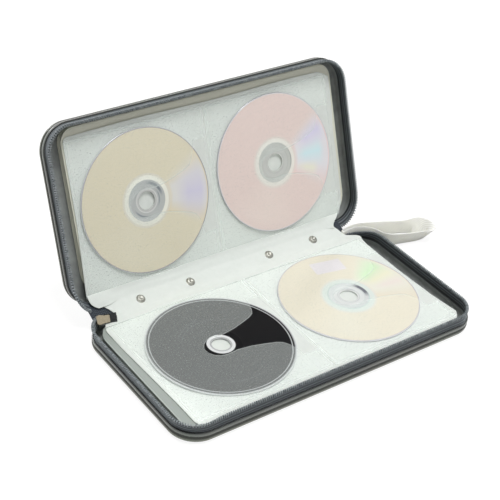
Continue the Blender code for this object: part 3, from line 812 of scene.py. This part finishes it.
def dyed_disc(name, rings, glow, painted_sheen_between, painted_sheen_tints, marks):
    """A recordable disc: a pearly field with painted sheen in one sector and in soft arcs, and
    painted shading arcs on its clear hub.
    """
    material, tree, shader = new_finish(name)
    polar = disc_polar(tree)
    reach, share = polar
    body = ringed(tree, reach, rings)
    # Painted sheen: the glow colour over one sector of the field
    low, high = ((angle + 180) / 360 for angle in painted_sheen_between)
    fade = 0.03
    sector = add_node(tree, "ValToRGB", share, stops=[
        (low - fade, 0), (low + fade, 1), (high - fade, 1), (high + fade, 0)])
    on_field = add_node(tree, "ValToRGB", reach, stops=[
        (0.355, 0), (0.42, 1), (0.96, 1), (0.975, 0)])
    amount = add_node(tree, "Math", (sector, on_field), operation="MULTIPLY")
    body = layered(tree, body, glow, amount)
    # Painted sheen: soft arcs of pale colour
    for code, centre, width, radii, strength in painted_sheen_tints:
        body = arc_laid(tree, body, polar, radii, (centre - width / 2, centre + width / 2),
                        code, strength, 0.10)
    # Painted shading and reflection: narrow dark arcs round the hub
    for code, radii, angles, strength in marks:
        body = arc_laid(tree, body, polar, radii, angles, code, strength)
    feed(tree, shader, {
        "Base Color": body, "Roughness": 0.24, "Metallic": 0.15, "Coat Weight": 0.5,
        "Coat Roughness": 0.06})
    return material, tree, shader, body


# Dyed polycarbonate over a silvered layer: pearly, with painted sheen in one sector and in soft
# arcs. The hub is clear and shows grey, with dark arcs of painted shading and reflection; the thin
# dark rim ring is painted shadow.
gold_disc = dyed_disc(
    "dyed_gold_disc", [
        (9.2, "#c3c5c2"), (10.2, "#d9dbd8"), (17.2, "#bcc0be"), (20.7, "#f7f7ea"),
        (22.5, "#e7e1d0"), (59.0, "#eadfc0"), (59.6, "#8e8a94"), (60.0, "#d4d4da")],
    "#e9e8e4", (-24, 24), [
        ("#d6d2ee", -4, 60, (34, 58.6), 0.75), ("#f1ead2", -120, 100, (24, 58), 0.4)],
    [("#5c6b76", (13.4, 15.6), (0, 92), 0.75), ("#6f7d86", (11.4, 12.4), (-40, 40), 0.6),
     ("#66747e", (12.6, 14.0), (-160, -84), 0.65), ("#8e9899", (11.0, 11.6), (100, 175), 0.5)])[0]
pink_disc = dyed_disc(
    "dyed_rose_disc", [
        (9.0, "#cfd2cd"), (9.4, "#b9bdb8"), (13.2, "#cdd0cb"), (13.6, "#bcc0bb"),
        (17.4, "#c9ccc6"), (20.7, "#f6f3ea"), (22.5, "#efe2da"), (59.0, "#f3dad3"),
        (59.5, "#eceaf0"), (60.0, "#a8a6ae")],
    "#f0eef2", (-26, 30), [
        ("#dcf7fc", 0, 34, (27, 54), 1.0), ("#f6f8dc", -20, 20, (28, 48), 0.7),
        ("#dcd8f8", 21, 30, (32, 58.6), 0.7), ("#f9e9df", -110, 90, (24, 58), 0.4)],
    [("#8f9491", (16.6, 17.4), (-42, 40), 0.8)])[0]
cream_disc, tree, shader, body = dyed_disc(
    "dyed_cream_disc", [
        (9.0, "#e6e9e7"), (9.5, "#c9cfce"), (13.4, "#e9edeb"), (13.8, "#cfd9d6"),
        (17.2, "#e0e4e3"), (17.8, "#c5dcd6"), (22.2, "#e8f1ea"), (24.0, "#efebdf"),
        (59.0, "#f3ead4"), (59.5, "#b7b2bd"), (60.0, "#e2e0e8")],
    "#f6f5e6", (-20, 36), [
        ("#d6f7c6", 27, 34, (28, 58.6), 0.9), ("#fbfad2", 11, 24, (28, 58.6), 0.6),
        ("#fae7e2", -4, 20, (32, 58.6), 0.5), ("#f3f1e2", -130, 80, (24, 58), 0.4)],
    [("#62646f", (14.4, 17.6), (-34, 46), 0.95), ("#7d8891", (8.6, 9.6), (10, 80), 0.5)])
# A blank paper label, 29 by 15.6 mm, stuck on a little askew
where = add_node(tree, "TexCoord")
askew = add_node(tree, "Mapping", {
    "Vector": where.outputs["UV"], "Rotation": (0.0, 0.0, math.radians(10)),
    "Location": (-3.2, -42.3, 0.0)})
sides = add_node(tree, "VectorMath", askew, operation="ABSOLUTE")
side = add_node(tree, "SeparateXYZ", sides)
across = add_node(tree, "MapRange", (side.outputs["X"], 14.3, 14.6, 1.0, 0.0))
down = add_node(tree, "MapRange", (side.outputs["Y"], 7.7, 8.0, 1.0, 0.0))
on_label = add_node(tree, "Math", (across, down), operation="MULTIPLY")
feed(tree, shader, {"Base Color": layered(tree, body, "#f3ecf0", on_label)})

# Screen-printed disc: satin black ink over the mirror, with fine rings, round a clear hub
printed_disc, tree, shader = new_finish("screen_printed_disc")
polar = disc_polar(tree)
ink = ringed(tree, polar[0], [
    (8.4, "#c9cbcb"), (8.8, "#aeb1b1"), (11.4, "#eef0f0"), (11.9, "#33363a"), (56.2, "#131315"),
    (57.0, "#c9cdce"), (58.2, "#131315"), (58.9, "#8f9394"), (60.0, "#dfe2e2")])
for code, radii, angles, strength in (
        ("#4a4e50", (30.0, 30.8), (60, 170), 0.9),
        ("#4a4e50", (33.0, 33.8), (75, 155), 0.9), ("#55595b", (44.5, 45.2), (-130, -60), 0.9)):
    ink = arc_laid(tree, ink, polar, radii, angles, code, strength)
feed(tree, shader, {"Base Color": ink, "Roughness": 0.45, "Specular IOR Level": 0.08})

finishes = {
    "base_disc_left": (printed_disc, "disc_grey"), "base_disc_right": (cream_disc, "disc_cream"),
    "lid_disc_left": (gold_disc, "disc_gold"), "lid_disc_right": (pink_disc, "disc_pink")}
for node, (body, x, y) in DISC_PLACE.items():
    low = LEVEL[body] + DISC_LIFT
    disc = make_disc(node.replace("disc", "cd"), low, (x, y), body)
    finish, slot = finishes[node]
    disc.data.materials.append(finish)
    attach(disc, body)
    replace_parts(disc, node)

# Film pockets
# Each disc lies under a square of clear soft film, welded to the page round its edge. The film
# rests on the disc, falls from its rim to the weld, and has the small crinkles of soft film.
POCKET_SIDE = 0.1284
FALL_AT_RIM = 0.0085
FALL_AT_WELD = 0.0032


def make_pocket(name, place, body, seed):
    foot = LEVEL[body] + 0.0004
    roof = LEVEL[body] + DISC_LIFT + DISC_THICKNESS + 0.0005
    edit.primitive_grid_add(x_subdivisions=96, y_subdivisions=96, size=POCKET_SIDE)
    film = named(name)
    for vertex in film.data.vertices:
        x, y = vertex.co.x, vertex.co.y
        reach = math.hypot(x, y)
        to_weld = POCKET_SIDE / 2 - max(abs(x), abs(y))
        off_disc = eased((reach - DISC_RADIUS) / FALL_AT_RIM)
        rise = (1 - off_disc) * eased(to_weld / FALL_AT_WELD)
        crinkle = noise.fractal(Vector((x * 55 + seed, y * 55 - seed, seed)), 1.0, 2.2, 3)
        lift = 0.00022 * max(0.0, crinkle + 0.25) * eased(to_weld / 0.006)
        vertex.co.z = foot + (roof - foot) * rise + lift
    side = SIDES[body]
    pattern_laid(film, lambda co: (side * co.x, side * co.y))
    film.data.transform(Matrix.Translation((*place, 0.0)))
    film.data.transform(TRAYS[body])
    smoothed(film, 60)
    return film


# Embossed soft film: milky, so that a dark disc looks grey through it, with a fine grain. A thumb
# notch is cut from behind the hub out to the right.
milky_film, tree, shader = new_finish("embossed_soft_film")
where = add_node(tree, "TexCoord")
place = add_node(tree, "SeparateXYZ", where.outputs["UV"])
# Half the notch's width over 40 mm, from 20 mm left of the disc's middle to 60 mm right of it
along = add_node(tree, "MapRange", (place.outputs["X"], -20.0, 60.0))
NOTCH = (
    (-16.2, -3), (-15.5, 0), (-14.6, 4.0), (-12, 7.8), (-8, 10.4), (-3, 11.4), (8, 10.6),
    (20, 12.4), (31, 15.6), (39, 18.2), (44, 21.0), (47, 26.0), (49, 32.0), (51, 40.0))
width = add_node(tree, "ValToRGB", along, stops=[
    ((x + 20) / 80, (half + 3) / 43) for x, half in NOTCH])
off_line = add_node(tree, "Math", (place.outputs["Y"], 1.8), operation="ADD")
off_line = add_node(tree, "Math", off_line, operation="ABSOLUTE")
within = add_node(tree, "Math", (width, 43.0, -3.0), operation="MULTIPLY_ADD")
within = add_node(tree, "Math", (within, off_line), operation="SUBTRACT")
kept = add_node(tree, "MapRange", (within, -0.2, 0.2, 1.0, 0.0))
# The cut edge is 0.6 mm wide, with a painted highlight: more of the film's pale colour shows there
beside = add_node(tree, "Math", within, operation="ABSOLUTE")
rim = add_node(tree, "MapRange", (beside, 0.2, 0.7, 0.22, 0.0))
# The weld runs 1.5 mm in from the film's edge
sides = add_node(tree, "VectorMath", where.outputs["UV"], operation="ABSOLUTE")
side = add_node(tree, "SeparateXYZ", sides)
to_edge = add_node(tree, "Math", (side.outputs["X"], side.outputs["Y"]), operation="MAXIMUM")
edge_share = add_node(tree, "Math", (to_edge, 64.2), operation="DIVIDE")
weld = add_node(tree, "ValToRGB", edge_share, stops=[
    (0.962, 0), (0.970, 0.10), (0.984, 0.10), (0.992, 0)])
# Embossing 1.1 mm across: 0.5 mm on the real film, drawn coarser so that it shows
emboss = add_node(tree, "TexNoise", {
    "Vector": where.outputs["UV"], "Scale": 0.9, "Detail": 3.0, "Roughness": 0.7})
grain = add_node(tree, "MapRange", (emboss, 0.3, 0.7, 0.238, 0.282))
hazed = add_node(tree, "Math", (grain, kept), operation="MULTIPLY")
edged = add_node(tree, "Math", (hazed, rim), operation="ADD")
milky = add_node(tree, "Math", (edged, weld), operation="ADD")
feed(tree, shader, {"Alpha": milky, "Base Color": "#eef5f2", "Roughness": 0.30, "IOR": 1.49})

for node, (body, x, y) in DISC_PLACE.items():
    pocket = make_pocket(node.replace("disc", "pocket"), (x, y), body, x * 400 + y * 900)
    pocket.data.materials.append(milky_film)
    # Real film scatters light forward, and a leaf under it is no darker
    pocket.visible_shadow = False
    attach(pocket, body)
    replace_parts(pocket, node.replace("disc", "pocket_film"))

# Bound margin
# The leaves' white margins run down from the base page, across the spine band under the
# rivets, and up behind the lid page. The sheet bends where the band folds.
FOLD_BASE = Vector((0.0735, 0.0105))
FOLD_LID = Vector((0.089333, 0.017221))
BAND_ALONG = (FOLD_LID - FOLD_BASE).normalized()
BAND_INSIDE = Vector((-BAND_ALONG.y, BAND_ALONG.x))
LID_ALONG = Vector((math.sin(math.radians(21.6)), math.cos(math.radians(21.6))))
LID_INSIDE = Vector((-LID_ALONG.y, LID_ALONG.x))
MARGIN_COLUMNS = 132
MARGIN_MIDDLE = 0.106
MARGIN_BEND = 0.011


def on_band(along, inside):
    return FOLD_BASE + BAND_ALONG * along + BAND_INSIDE * inside


def on_lid(along, inside):
    return FOLD_LID + LID_ALONG * along + LID_INSIDE * inside


def make_margin(name, lines, edges, ripple):
    """A strip of sheet. Its section blends between points for its middle and for its ends."""
    middle_line, end_line = lines
    strip = drawn_line(name, [(0.0, point.x, point.y) for point in middle_line])
    pulled_along([k / MARGIN_COLUMNS for k in range(MARGIN_COLUMNS + 1)])
    set_mode(mode="OBJECT")
    places = {}
    for row, point in enumerate(middle_line):
        places[round(point.x, 6), round(point.y, 6)] = row
    for vertex in strip.data.vertices:
        row = places[round(vertex.co.y, 6), round(vertex.co.z, 6)]
        left, right = edges[row]
        x = left + (right - left) * vertex.co.x
        at_end = eased((abs(x) - MARGIN_MIDDLE) / MARGIN_BEND)
        place = middle_line[row].lerp(end_line[row], at_end)
        rise = ripple * noise.noise(Vector((x * 38, row * 0.9, 4.0)))
        inner = 0 < row < len(middle_line) - 1
        vertex.co = (x, place.x, place.y + (max(-0.0001, rise) if inner else 0.0))
    pattern_laid(strip, lambda co: (co.x, co.y))
    thickened(strip, 0.0004, 0.0)
    faces_outward(strip)
    smoothed(strip, 60)
    return strip


low_line = [
    Vector((0.0620, 0.0133)), Vector((0.0650, 0.01345)), Vector((0.0675, 0.0133)),
    Vector((0.0695, 0.0130)), Vector((0.0715, 0.0127)), on_band(0.0005, 0.0019),
    on_band(0.0035, 0.0016), on_band(0.0080, 0.0015), on_band(0.0128, 0.0015)]
low_edges = [
    (-0.1322, 0.1318), (-0.1304, 0.1320), (-0.1270, 0.1302), (-0.1234, 0.1276),
    (-0.1202, 0.1246), (-0.1156, 0.1225), (-0.1168, 0.1206), (-0.1195, 0.1190),
    (-0.1235, 0.1166)]
high_line = [
    on_band(0.0128, 0.0015), on_band(0.0146, 0.0018), on_band(0.0162, 0.0025),
    on_lid(0.0014, 0.0022), on_lid(0.0032, 0.0011), on_lid(0.0052, 0.0002),
    on_lid(0.0075, -0.0002)]
high_ends = [
    Vector((0.0822, 0.0168)), Vector((0.0838, 0.0181)), Vector((0.0854, 0.0195)),
    Vector((0.0871, 0.0208)), Vector((0.0888, 0.0221)), Vector((0.0905, 0.0232)),
    on_lid(0.0075, -0.0002)]
high_edges = [
    (-0.1262, 0.1160), (-0.1292, 0.1160), (-0.1310, 0.1172), (-0.1318, 0.1196),
    (-0.1320, 0.1226), (-0.1319, 0.1246), (-0.1317, 0.1266)]
low_margin = make_margin("base_margin", (low_line, low_line), low_edges, 0.0004)
high_margin = make_margin("lid_margin", (high_line, high_ends), high_edges, 0.0003)
for margin in (low_margin, high_margin):
    margin.data.materials.append(embossed_leaf)
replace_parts(low_margin, "binding_strip")
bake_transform(low_margin)
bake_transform(high_margin)

# Rivets
# Four domed rivets of nickelled brass hold the margins to the band, with a cap closed on each
# shank outside. One is turned and the rest are copies of it.
RIVET_PLACES = (-0.08925, -0.04075, 0.04075, 0.08925)
RIVET_LEVEL = 0.0068

# Nickelled brass, tumbled: dull warm grey, with soft scratches
nickelled_brass, tree, shader = new_finish("nickelled_brass")
where = add_node(tree, "TexCoord")
tarnish = add_node(tree, "TexNoise", {
    "Vector": where.outputs["Object"], "Scale": 700.0, "Detail": 4.0})
metal_tint = add_node(tree, "ValToRGB", tarnish, stops=[(0.3, "#6c6c67"), (0.7, "#b4b4ab")])
tumble = add_node(tree, "MapRange", (tarnish, 0.0, 1.0, 0.25, 0.5))
feed(tree, shader, {"Base Color": metal_tint, "Roughness": tumble, "Metallic": 1.0})


def set_on_band(piece, name, x):
    copy = piece.copy()
    copy.data = piece.data.copy()
    copy.name = name
    copy.data.name = name
    bpy.context.collection.objects.link(copy)
    copy.data.transform(
        BAND_FRAME @ Matrix.Translation((x, 0.0, RIVET_LEVEL))
        @ Matrix.Rotation(math.radians(90), 4, "X"))
    copy.data.materials.append(nickelled_brass)
    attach(copy, "spine")
    return copy


head = spun("rivet_head", [
    (0.0, 0.0031), (0.0008, 0.0031), (0.0011, 0.0033), (0.0016, 0.0035), (0.0023, 0.0034),
    (0.0030, 0.0030), (0.0034, 0.0025), (0.0036, 0.00215), (0.0039, 0.00210), (0.0039, 0.0018),
    (0.0015, 0.0018), (0.0015, -0.0010), (0.0, -0.0010), (0.0, 0.0031)], 32)
cap = spun("rivet_closer", [
    (0.0, -0.0019), (0.0018, -0.0019), (0.0024, -0.0016), (0.0026, -0.0012), (0.0026, -0.0007),
    (0.0018, -0.0007), (0.0018, -0.0013), (0.0, -0.0013), (0.0, -0.0019)], 32)
for pattern in (head, cap):
    smoothed(pattern, 40)
for number, x in enumerate(RIVET_PLACES, start=1):
    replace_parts(set_on_band(head, f"rivet_head_{number}", x), f"rivet_{number}")
    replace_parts(set_on_band(cap, f"rivet_closer_{number}", x), f"rivet_cap_{number}")
for pattern in (head, cap):
    bpy.data.objects.remove(pattern, do_unlink=True)

# Slider, pull and end tab
# The slider, its bail and the flat pull are die-cast zinc, painted a dull tan. The tapes'
# joined ends are gripped in the slider's tail.
cast_zinc, tree, shader = new_finish("die_cast_zinc")
where = add_node(tree, "TexCoord")
grain = add_node(tree, "TexNoise", {
    "Vector": where.outputs["Object"], "Scale": 900.0, "Detail": 3.0})
zinc_tint = add_node(tree, "ValToRGB", grain, stops=[(0.2, "#948a76"), (0.8, "#b3a891")])
feed(tree, shader, {"Base Color": zinc_tint, "Metallic": 0.85, "Roughness": 0.36})
for node, finish in (
        ("zip_slider", cast_zinc), ("zip_pull", cast_zinc), ("zip_end_tab", ribbed_tape)):
    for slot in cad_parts[node].material_slots:
        slot.material = finish

# Spine band
# A strip of dark woven polyester joins the two shells along the spine. It folds along both of
# its edges, and the rivets' caps show on its outside.
spine_cloth, tree, shader = new_finish("woven_spine_cloth")
where = add_node(tree, "TexCoord")
# A plain weave of threads 0.8 mm apart
warp = add_node(tree, "TexWave", {
    "Vector": where.outputs["Object"], "Scale": 196.0}, bands_direction="X")
weft = add_node(tree, "TexWave", {
    "Vector": where.outputs["Object"], "Scale": 196.0}, bands_direction="Y")
woven = add_node(tree, "Math", (warp.outputs["Fac"], weft.outputs["Fac"]), operation="MULTIPLY")
cloth_tint = add_node(tree, "ValToRGB", woven, stops=[(0.0, "#2c3138"), (1.0, "#525b65")])
cloth_bump = add_node(tree, "Bump", {"Strength": 0.4, "Distance": 0.0002, "Height": woven})
feed(tree, shader, {"Base Color": cloth_tint, "Normal": cloth_bump, "Roughness": 0.85})
BAND_HEIGHT = (FOLD_LID - FOLD_BASE).length
GUSSET_REACH = 0.62
GUSSET_TURN = {-1: math.radians(34), 1: math.radians(3)}


def seam_point(side, turn, body):
    """The seam's point at an angle round a spine corner."""
    across = (HALF_FRONT + SEAM_CORNER * math.sin(turn)) * side * SIDES[body]
    return TRAYS[body] @ Vector((
        across, SIDE_RUN / 2 + SEAM_CORNER * math.cos(turn), SEAM_LEVEL))


def make_spine(name, low_share, high_share):
    """One half of the band, with its gussets round the corners, between shares of its height."""
    edit.primitive_grid_add(x_subdivisions=160, y_subdivisions=8, size=1.0)
    cloth = named(name)
    reach = HALF_FRONT + SEAM_CORNER * GUSSET_REACH
    for vertex in cloth.data.vertices:
        along = vertex.co.x * 2 * reach
        share = low_share + (high_share - low_share) * (vertex.co.y + 0.5)
        side = -1 if along < 0 else 1
        turn = max(0.0, abs(along) - HALF_FRONT) / SEAM_CORNER
        turn = min(turn, GUSSET_TURN[side])
        if abs(along) > HALF_FRONT:
            place = seam_point(side, turn, "base").lerp(seam_point(side, turn, "lid"), share)
        else:
            row = on_band(BAND_HEIGHT * share, 0.0)
            place = Vector((along, row.x, row.y))
        vertex.co = place
    opened(cloth)
    edit.remove_doubles(threshold=0.00002)
    set_mode(mode="OBJECT")
    pattern_laid(cloth, lambda co: (co.x, co.y + co.z))
    thickened(cloth, 0.0009, 0.0)
    faces_outward(cloth)
    smoothed(cloth, 60)
    cloth.data.materials.append(spine_cloth)
    return cloth


low_spine = make_spine("spine_cloth_low", 0.0, 0.5)
high_spine = make_spine("spine_cloth_high", 0.5, 1.0)
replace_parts(low_spine, "spine_band")
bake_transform(low_spine)
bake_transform(high_spine)

# Wrist strap
# A loop of pale grey polyester webbing, 15 mm wide, stands on its edge beyond the right end of
# the spine. Its two ends are sewn together against the shell.
STRAP_WIDTH = 0.0150
STRAP_THICKNESS = 0.0013
STRAP_CORNER = Vector((0.1455, 0.07595, 0.0))
# Along, across, and how far the webbing leans out, as a sine
STRAP_ROUTE = (
    (-0.0240, 0.0000, 0.00), (-0.0095, 0.0002, 0.00), (0.0030, -0.0080, 0.00),
    (0.0120, -0.0195, 0.20), (0.0270, -0.0240, 0.34), (0.0440, -0.0276, 0.40),
    (0.0525, -0.0262, 0.62), (0.0520, -0.0200, 0.45), (0.0385, -0.0115, -0.10),
    (0.0180, -0.0045, 0.00), (-0.0040, 0.0036, 0.00), (-0.0195, 0.0032, 0.00))


def strap_line(parts):
    """The strap's closed route, smooth through its points."""
    found = []
    count = len(STRAP_ROUTE)
    for i in range(count):
        p0, p1, p2, p3 = (Vector(STRAP_ROUTE[(i + k - 1) % count]) for k in range(4))
        for part in range(parts):
            t = part / parts
            found.append(STRAP_CORNER + 0.5 * (
                2 * p1 + (p2 - p0) * t + (2 * p0 - 5 * p1 + 4 * p2 - p3) * t ** 2
                + (3 * p1 - p0 - 3 * p2 + p3) * t ** 3))
    return found


line = strap_line(26)
half = STRAP_THICKNESS / 2
low = 0.0003
cut = 0.0004
section = [
    (half, cut), (half, STRAP_WIDTH / 2), (half, STRAP_WIDTH - cut), (half - cut, STRAP_WIDTH),
    (cut - half, STRAP_WIDTH), (-half, STRAP_WIDTH - cut), (-half, STRAP_WIDTH / 2),
    (-half, cut), (cut - half, 0.0), (half - cut, 0.0), (half, cut)]
strap = drawn_line("wrist_loop", [(0.0, reach, height) for reach, height in section])
runs = [0.0]
for before, after in zip(line, line[1:] + line[:1]):
    runs.append(runs[-1] + (after.xy - before.xy).length)
pulled_along(runs)
set_mode(mode="OBJECT")
pattern_laid(strap, lambda co: (co.x, co.z))
count = len(line)
for vertex in strap.data.vertices:
    run, reach, height = vertex.co
    i = min(range(len(runs)), key=lambda k: abs(runs[k] - run)) % count
    along = (line[(i + 1) % count].xy - line[i - 1].xy).normalized()
    lean = line[i].z
    place = line[i].xy + Vector((along.y, -along.x)) * (reach + height * lean)
    vertex.co = (place.x, place.y, low + height * math.sqrt(1 - lean ** 2))
faces_outward(strap)
smoothed(strap, 50)

# Polyester webbing: soft matt grey-beige with a chevron weave and firm edges
woven_webbing, tree, shader = new_finish("polyester_webbing")
where = add_node(tree, "TexCoord")
parts = add_node(tree, "SeparateXYZ", where.outputs["UV"])
# Ribs 1.4 mm apart along the strap, tilted into a chevron each side of its middle
off_middle = add_node(tree, "Math", (parts.outputs["Y"], 7.5), operation="SUBTRACT")
slant = add_node(tree, "Math", off_middle, operation="ABSOLUTE")
chevron = add_node(tree, "Math", (slant, 0.6, parts.outputs["X"]), operation="MULTIPLY_ADD")
phase = add_node(tree, "Math", (chevron, math.tau / 1.4), operation="MULTIPLY")
picks = add_node(tree, "Math", phase, operation="SINE")
pick_tint = add_node(tree, "MapRange", (picks, -1.0, 1.0))
strap_tint = add_node(tree, "ValToRGB", pick_tint, stops=[
    (0.0, "#e6e6dc"), (0.6, "#f3f3eb"), (1.0, "#fafaf4")])
strap_bump = add_node(tree, "Bump", {"Strength": 0.16, "Distance": 0.0003, "Height": picks})
# The weave is open enough to let light through
feed(tree, shader, {
    "Base Color": strap_tint, "Normal": strap_bump, "Roughness": 0.85, "Sheen Weight": 0.2,
    "Subsurface Weight": 0.8, "Subsurface Radius": (1.0, 1.0, 0.9), "Subsurface Scale": 0.003})
strap.data.materials.append(woven_webbing)
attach(strap, "base")
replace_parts(strap, "wrist_strap")

# Floor and light
# A white floor under the case, and white for every ray the camera sees past it, one broad lamp
# overhead and an even fill from all round, as in a light tent.


def rays_seen(tree):
    """One for rays that the camera sees straight, in a mirror or through something."""
    path = add_node(tree, "LightPath")
    seen = add_node(tree, "Math", (
        path.outputs["Is Camera Ray"], path.outputs["Is Glossy Ray"]), operation="MAXIMUM")
    return add_node(tree, "Math", (seen, path.outputs["Is Transmission Ray"]), operation="MAXIMUM")


edit.primitive_plane_add(size=6.0)
floor = bpy.context.object
floor.name = "floor"
matt_white, tree, shader = new_finish("matt_white_paper")
seen = rays_seen(tree)
# Seen straight it is darker, so that its glow leaves a faint shadow; light that it sends on is
# that of white paper
paper_tint = add_node(tree, "Mix", {
    "Factor": seen, 6: "#d2d2d1", 7: "#7c7c7b"}, data_type="RGBA")
added = add_node(tree, "Math", (seen, 0.86), operation="MULTIPLY")
feed(tree, shader, {
    "Base Color": paper_tint.outputs[2], "Roughness": 0.9, "Emission Color": "#ffffff",
    "Emission Strength": added})
floor.data.materials.append(matt_white)

world = bpy.data.worlds.new("light_tent")
bpy.context.scene.world = world
world.use_nodes = True
tree = world.node_tree
background = tree.nodes["Background"]
seen = rays_seen(tree)
glow = add_node(tree, "MapRange", (seen, 0.0, 1.0, 0.29, 1.0))
feed(tree, background, {"Strength": glow, "Color": "#ffffff"})

# The broad lamp overhead, and a low one behind for the top edge of the lid
for name, turns, energy, spread in (
        ("overhead", (6, 4, 0), 1.74, 24), ("behind", (-66, 0, 8), 1.6, 18)):
    bpy.ops.object.light_add(type="SUN")
    lamp = bpy.context.object
    lamp.name = name
    lamp.rotation_euler = [math.radians(turn) for turn in turns]
    lamp.data.energy = energy
    lamp.data.angle = math.radians(spread)

# A soft box in front, to the right
bpy.ops.object.light_add(type="AREA", location=(0.26, -0.34, 0.36))
front = bpy.context.object
front.name = "front"
front.data.size = 0.35
front.data.energy = 0.22
aim = Vector((0.07, 0.09, 0.03)) - front.location
front.rotation_euler = aim.to_track_quat("-Z", "Y").to_euler()
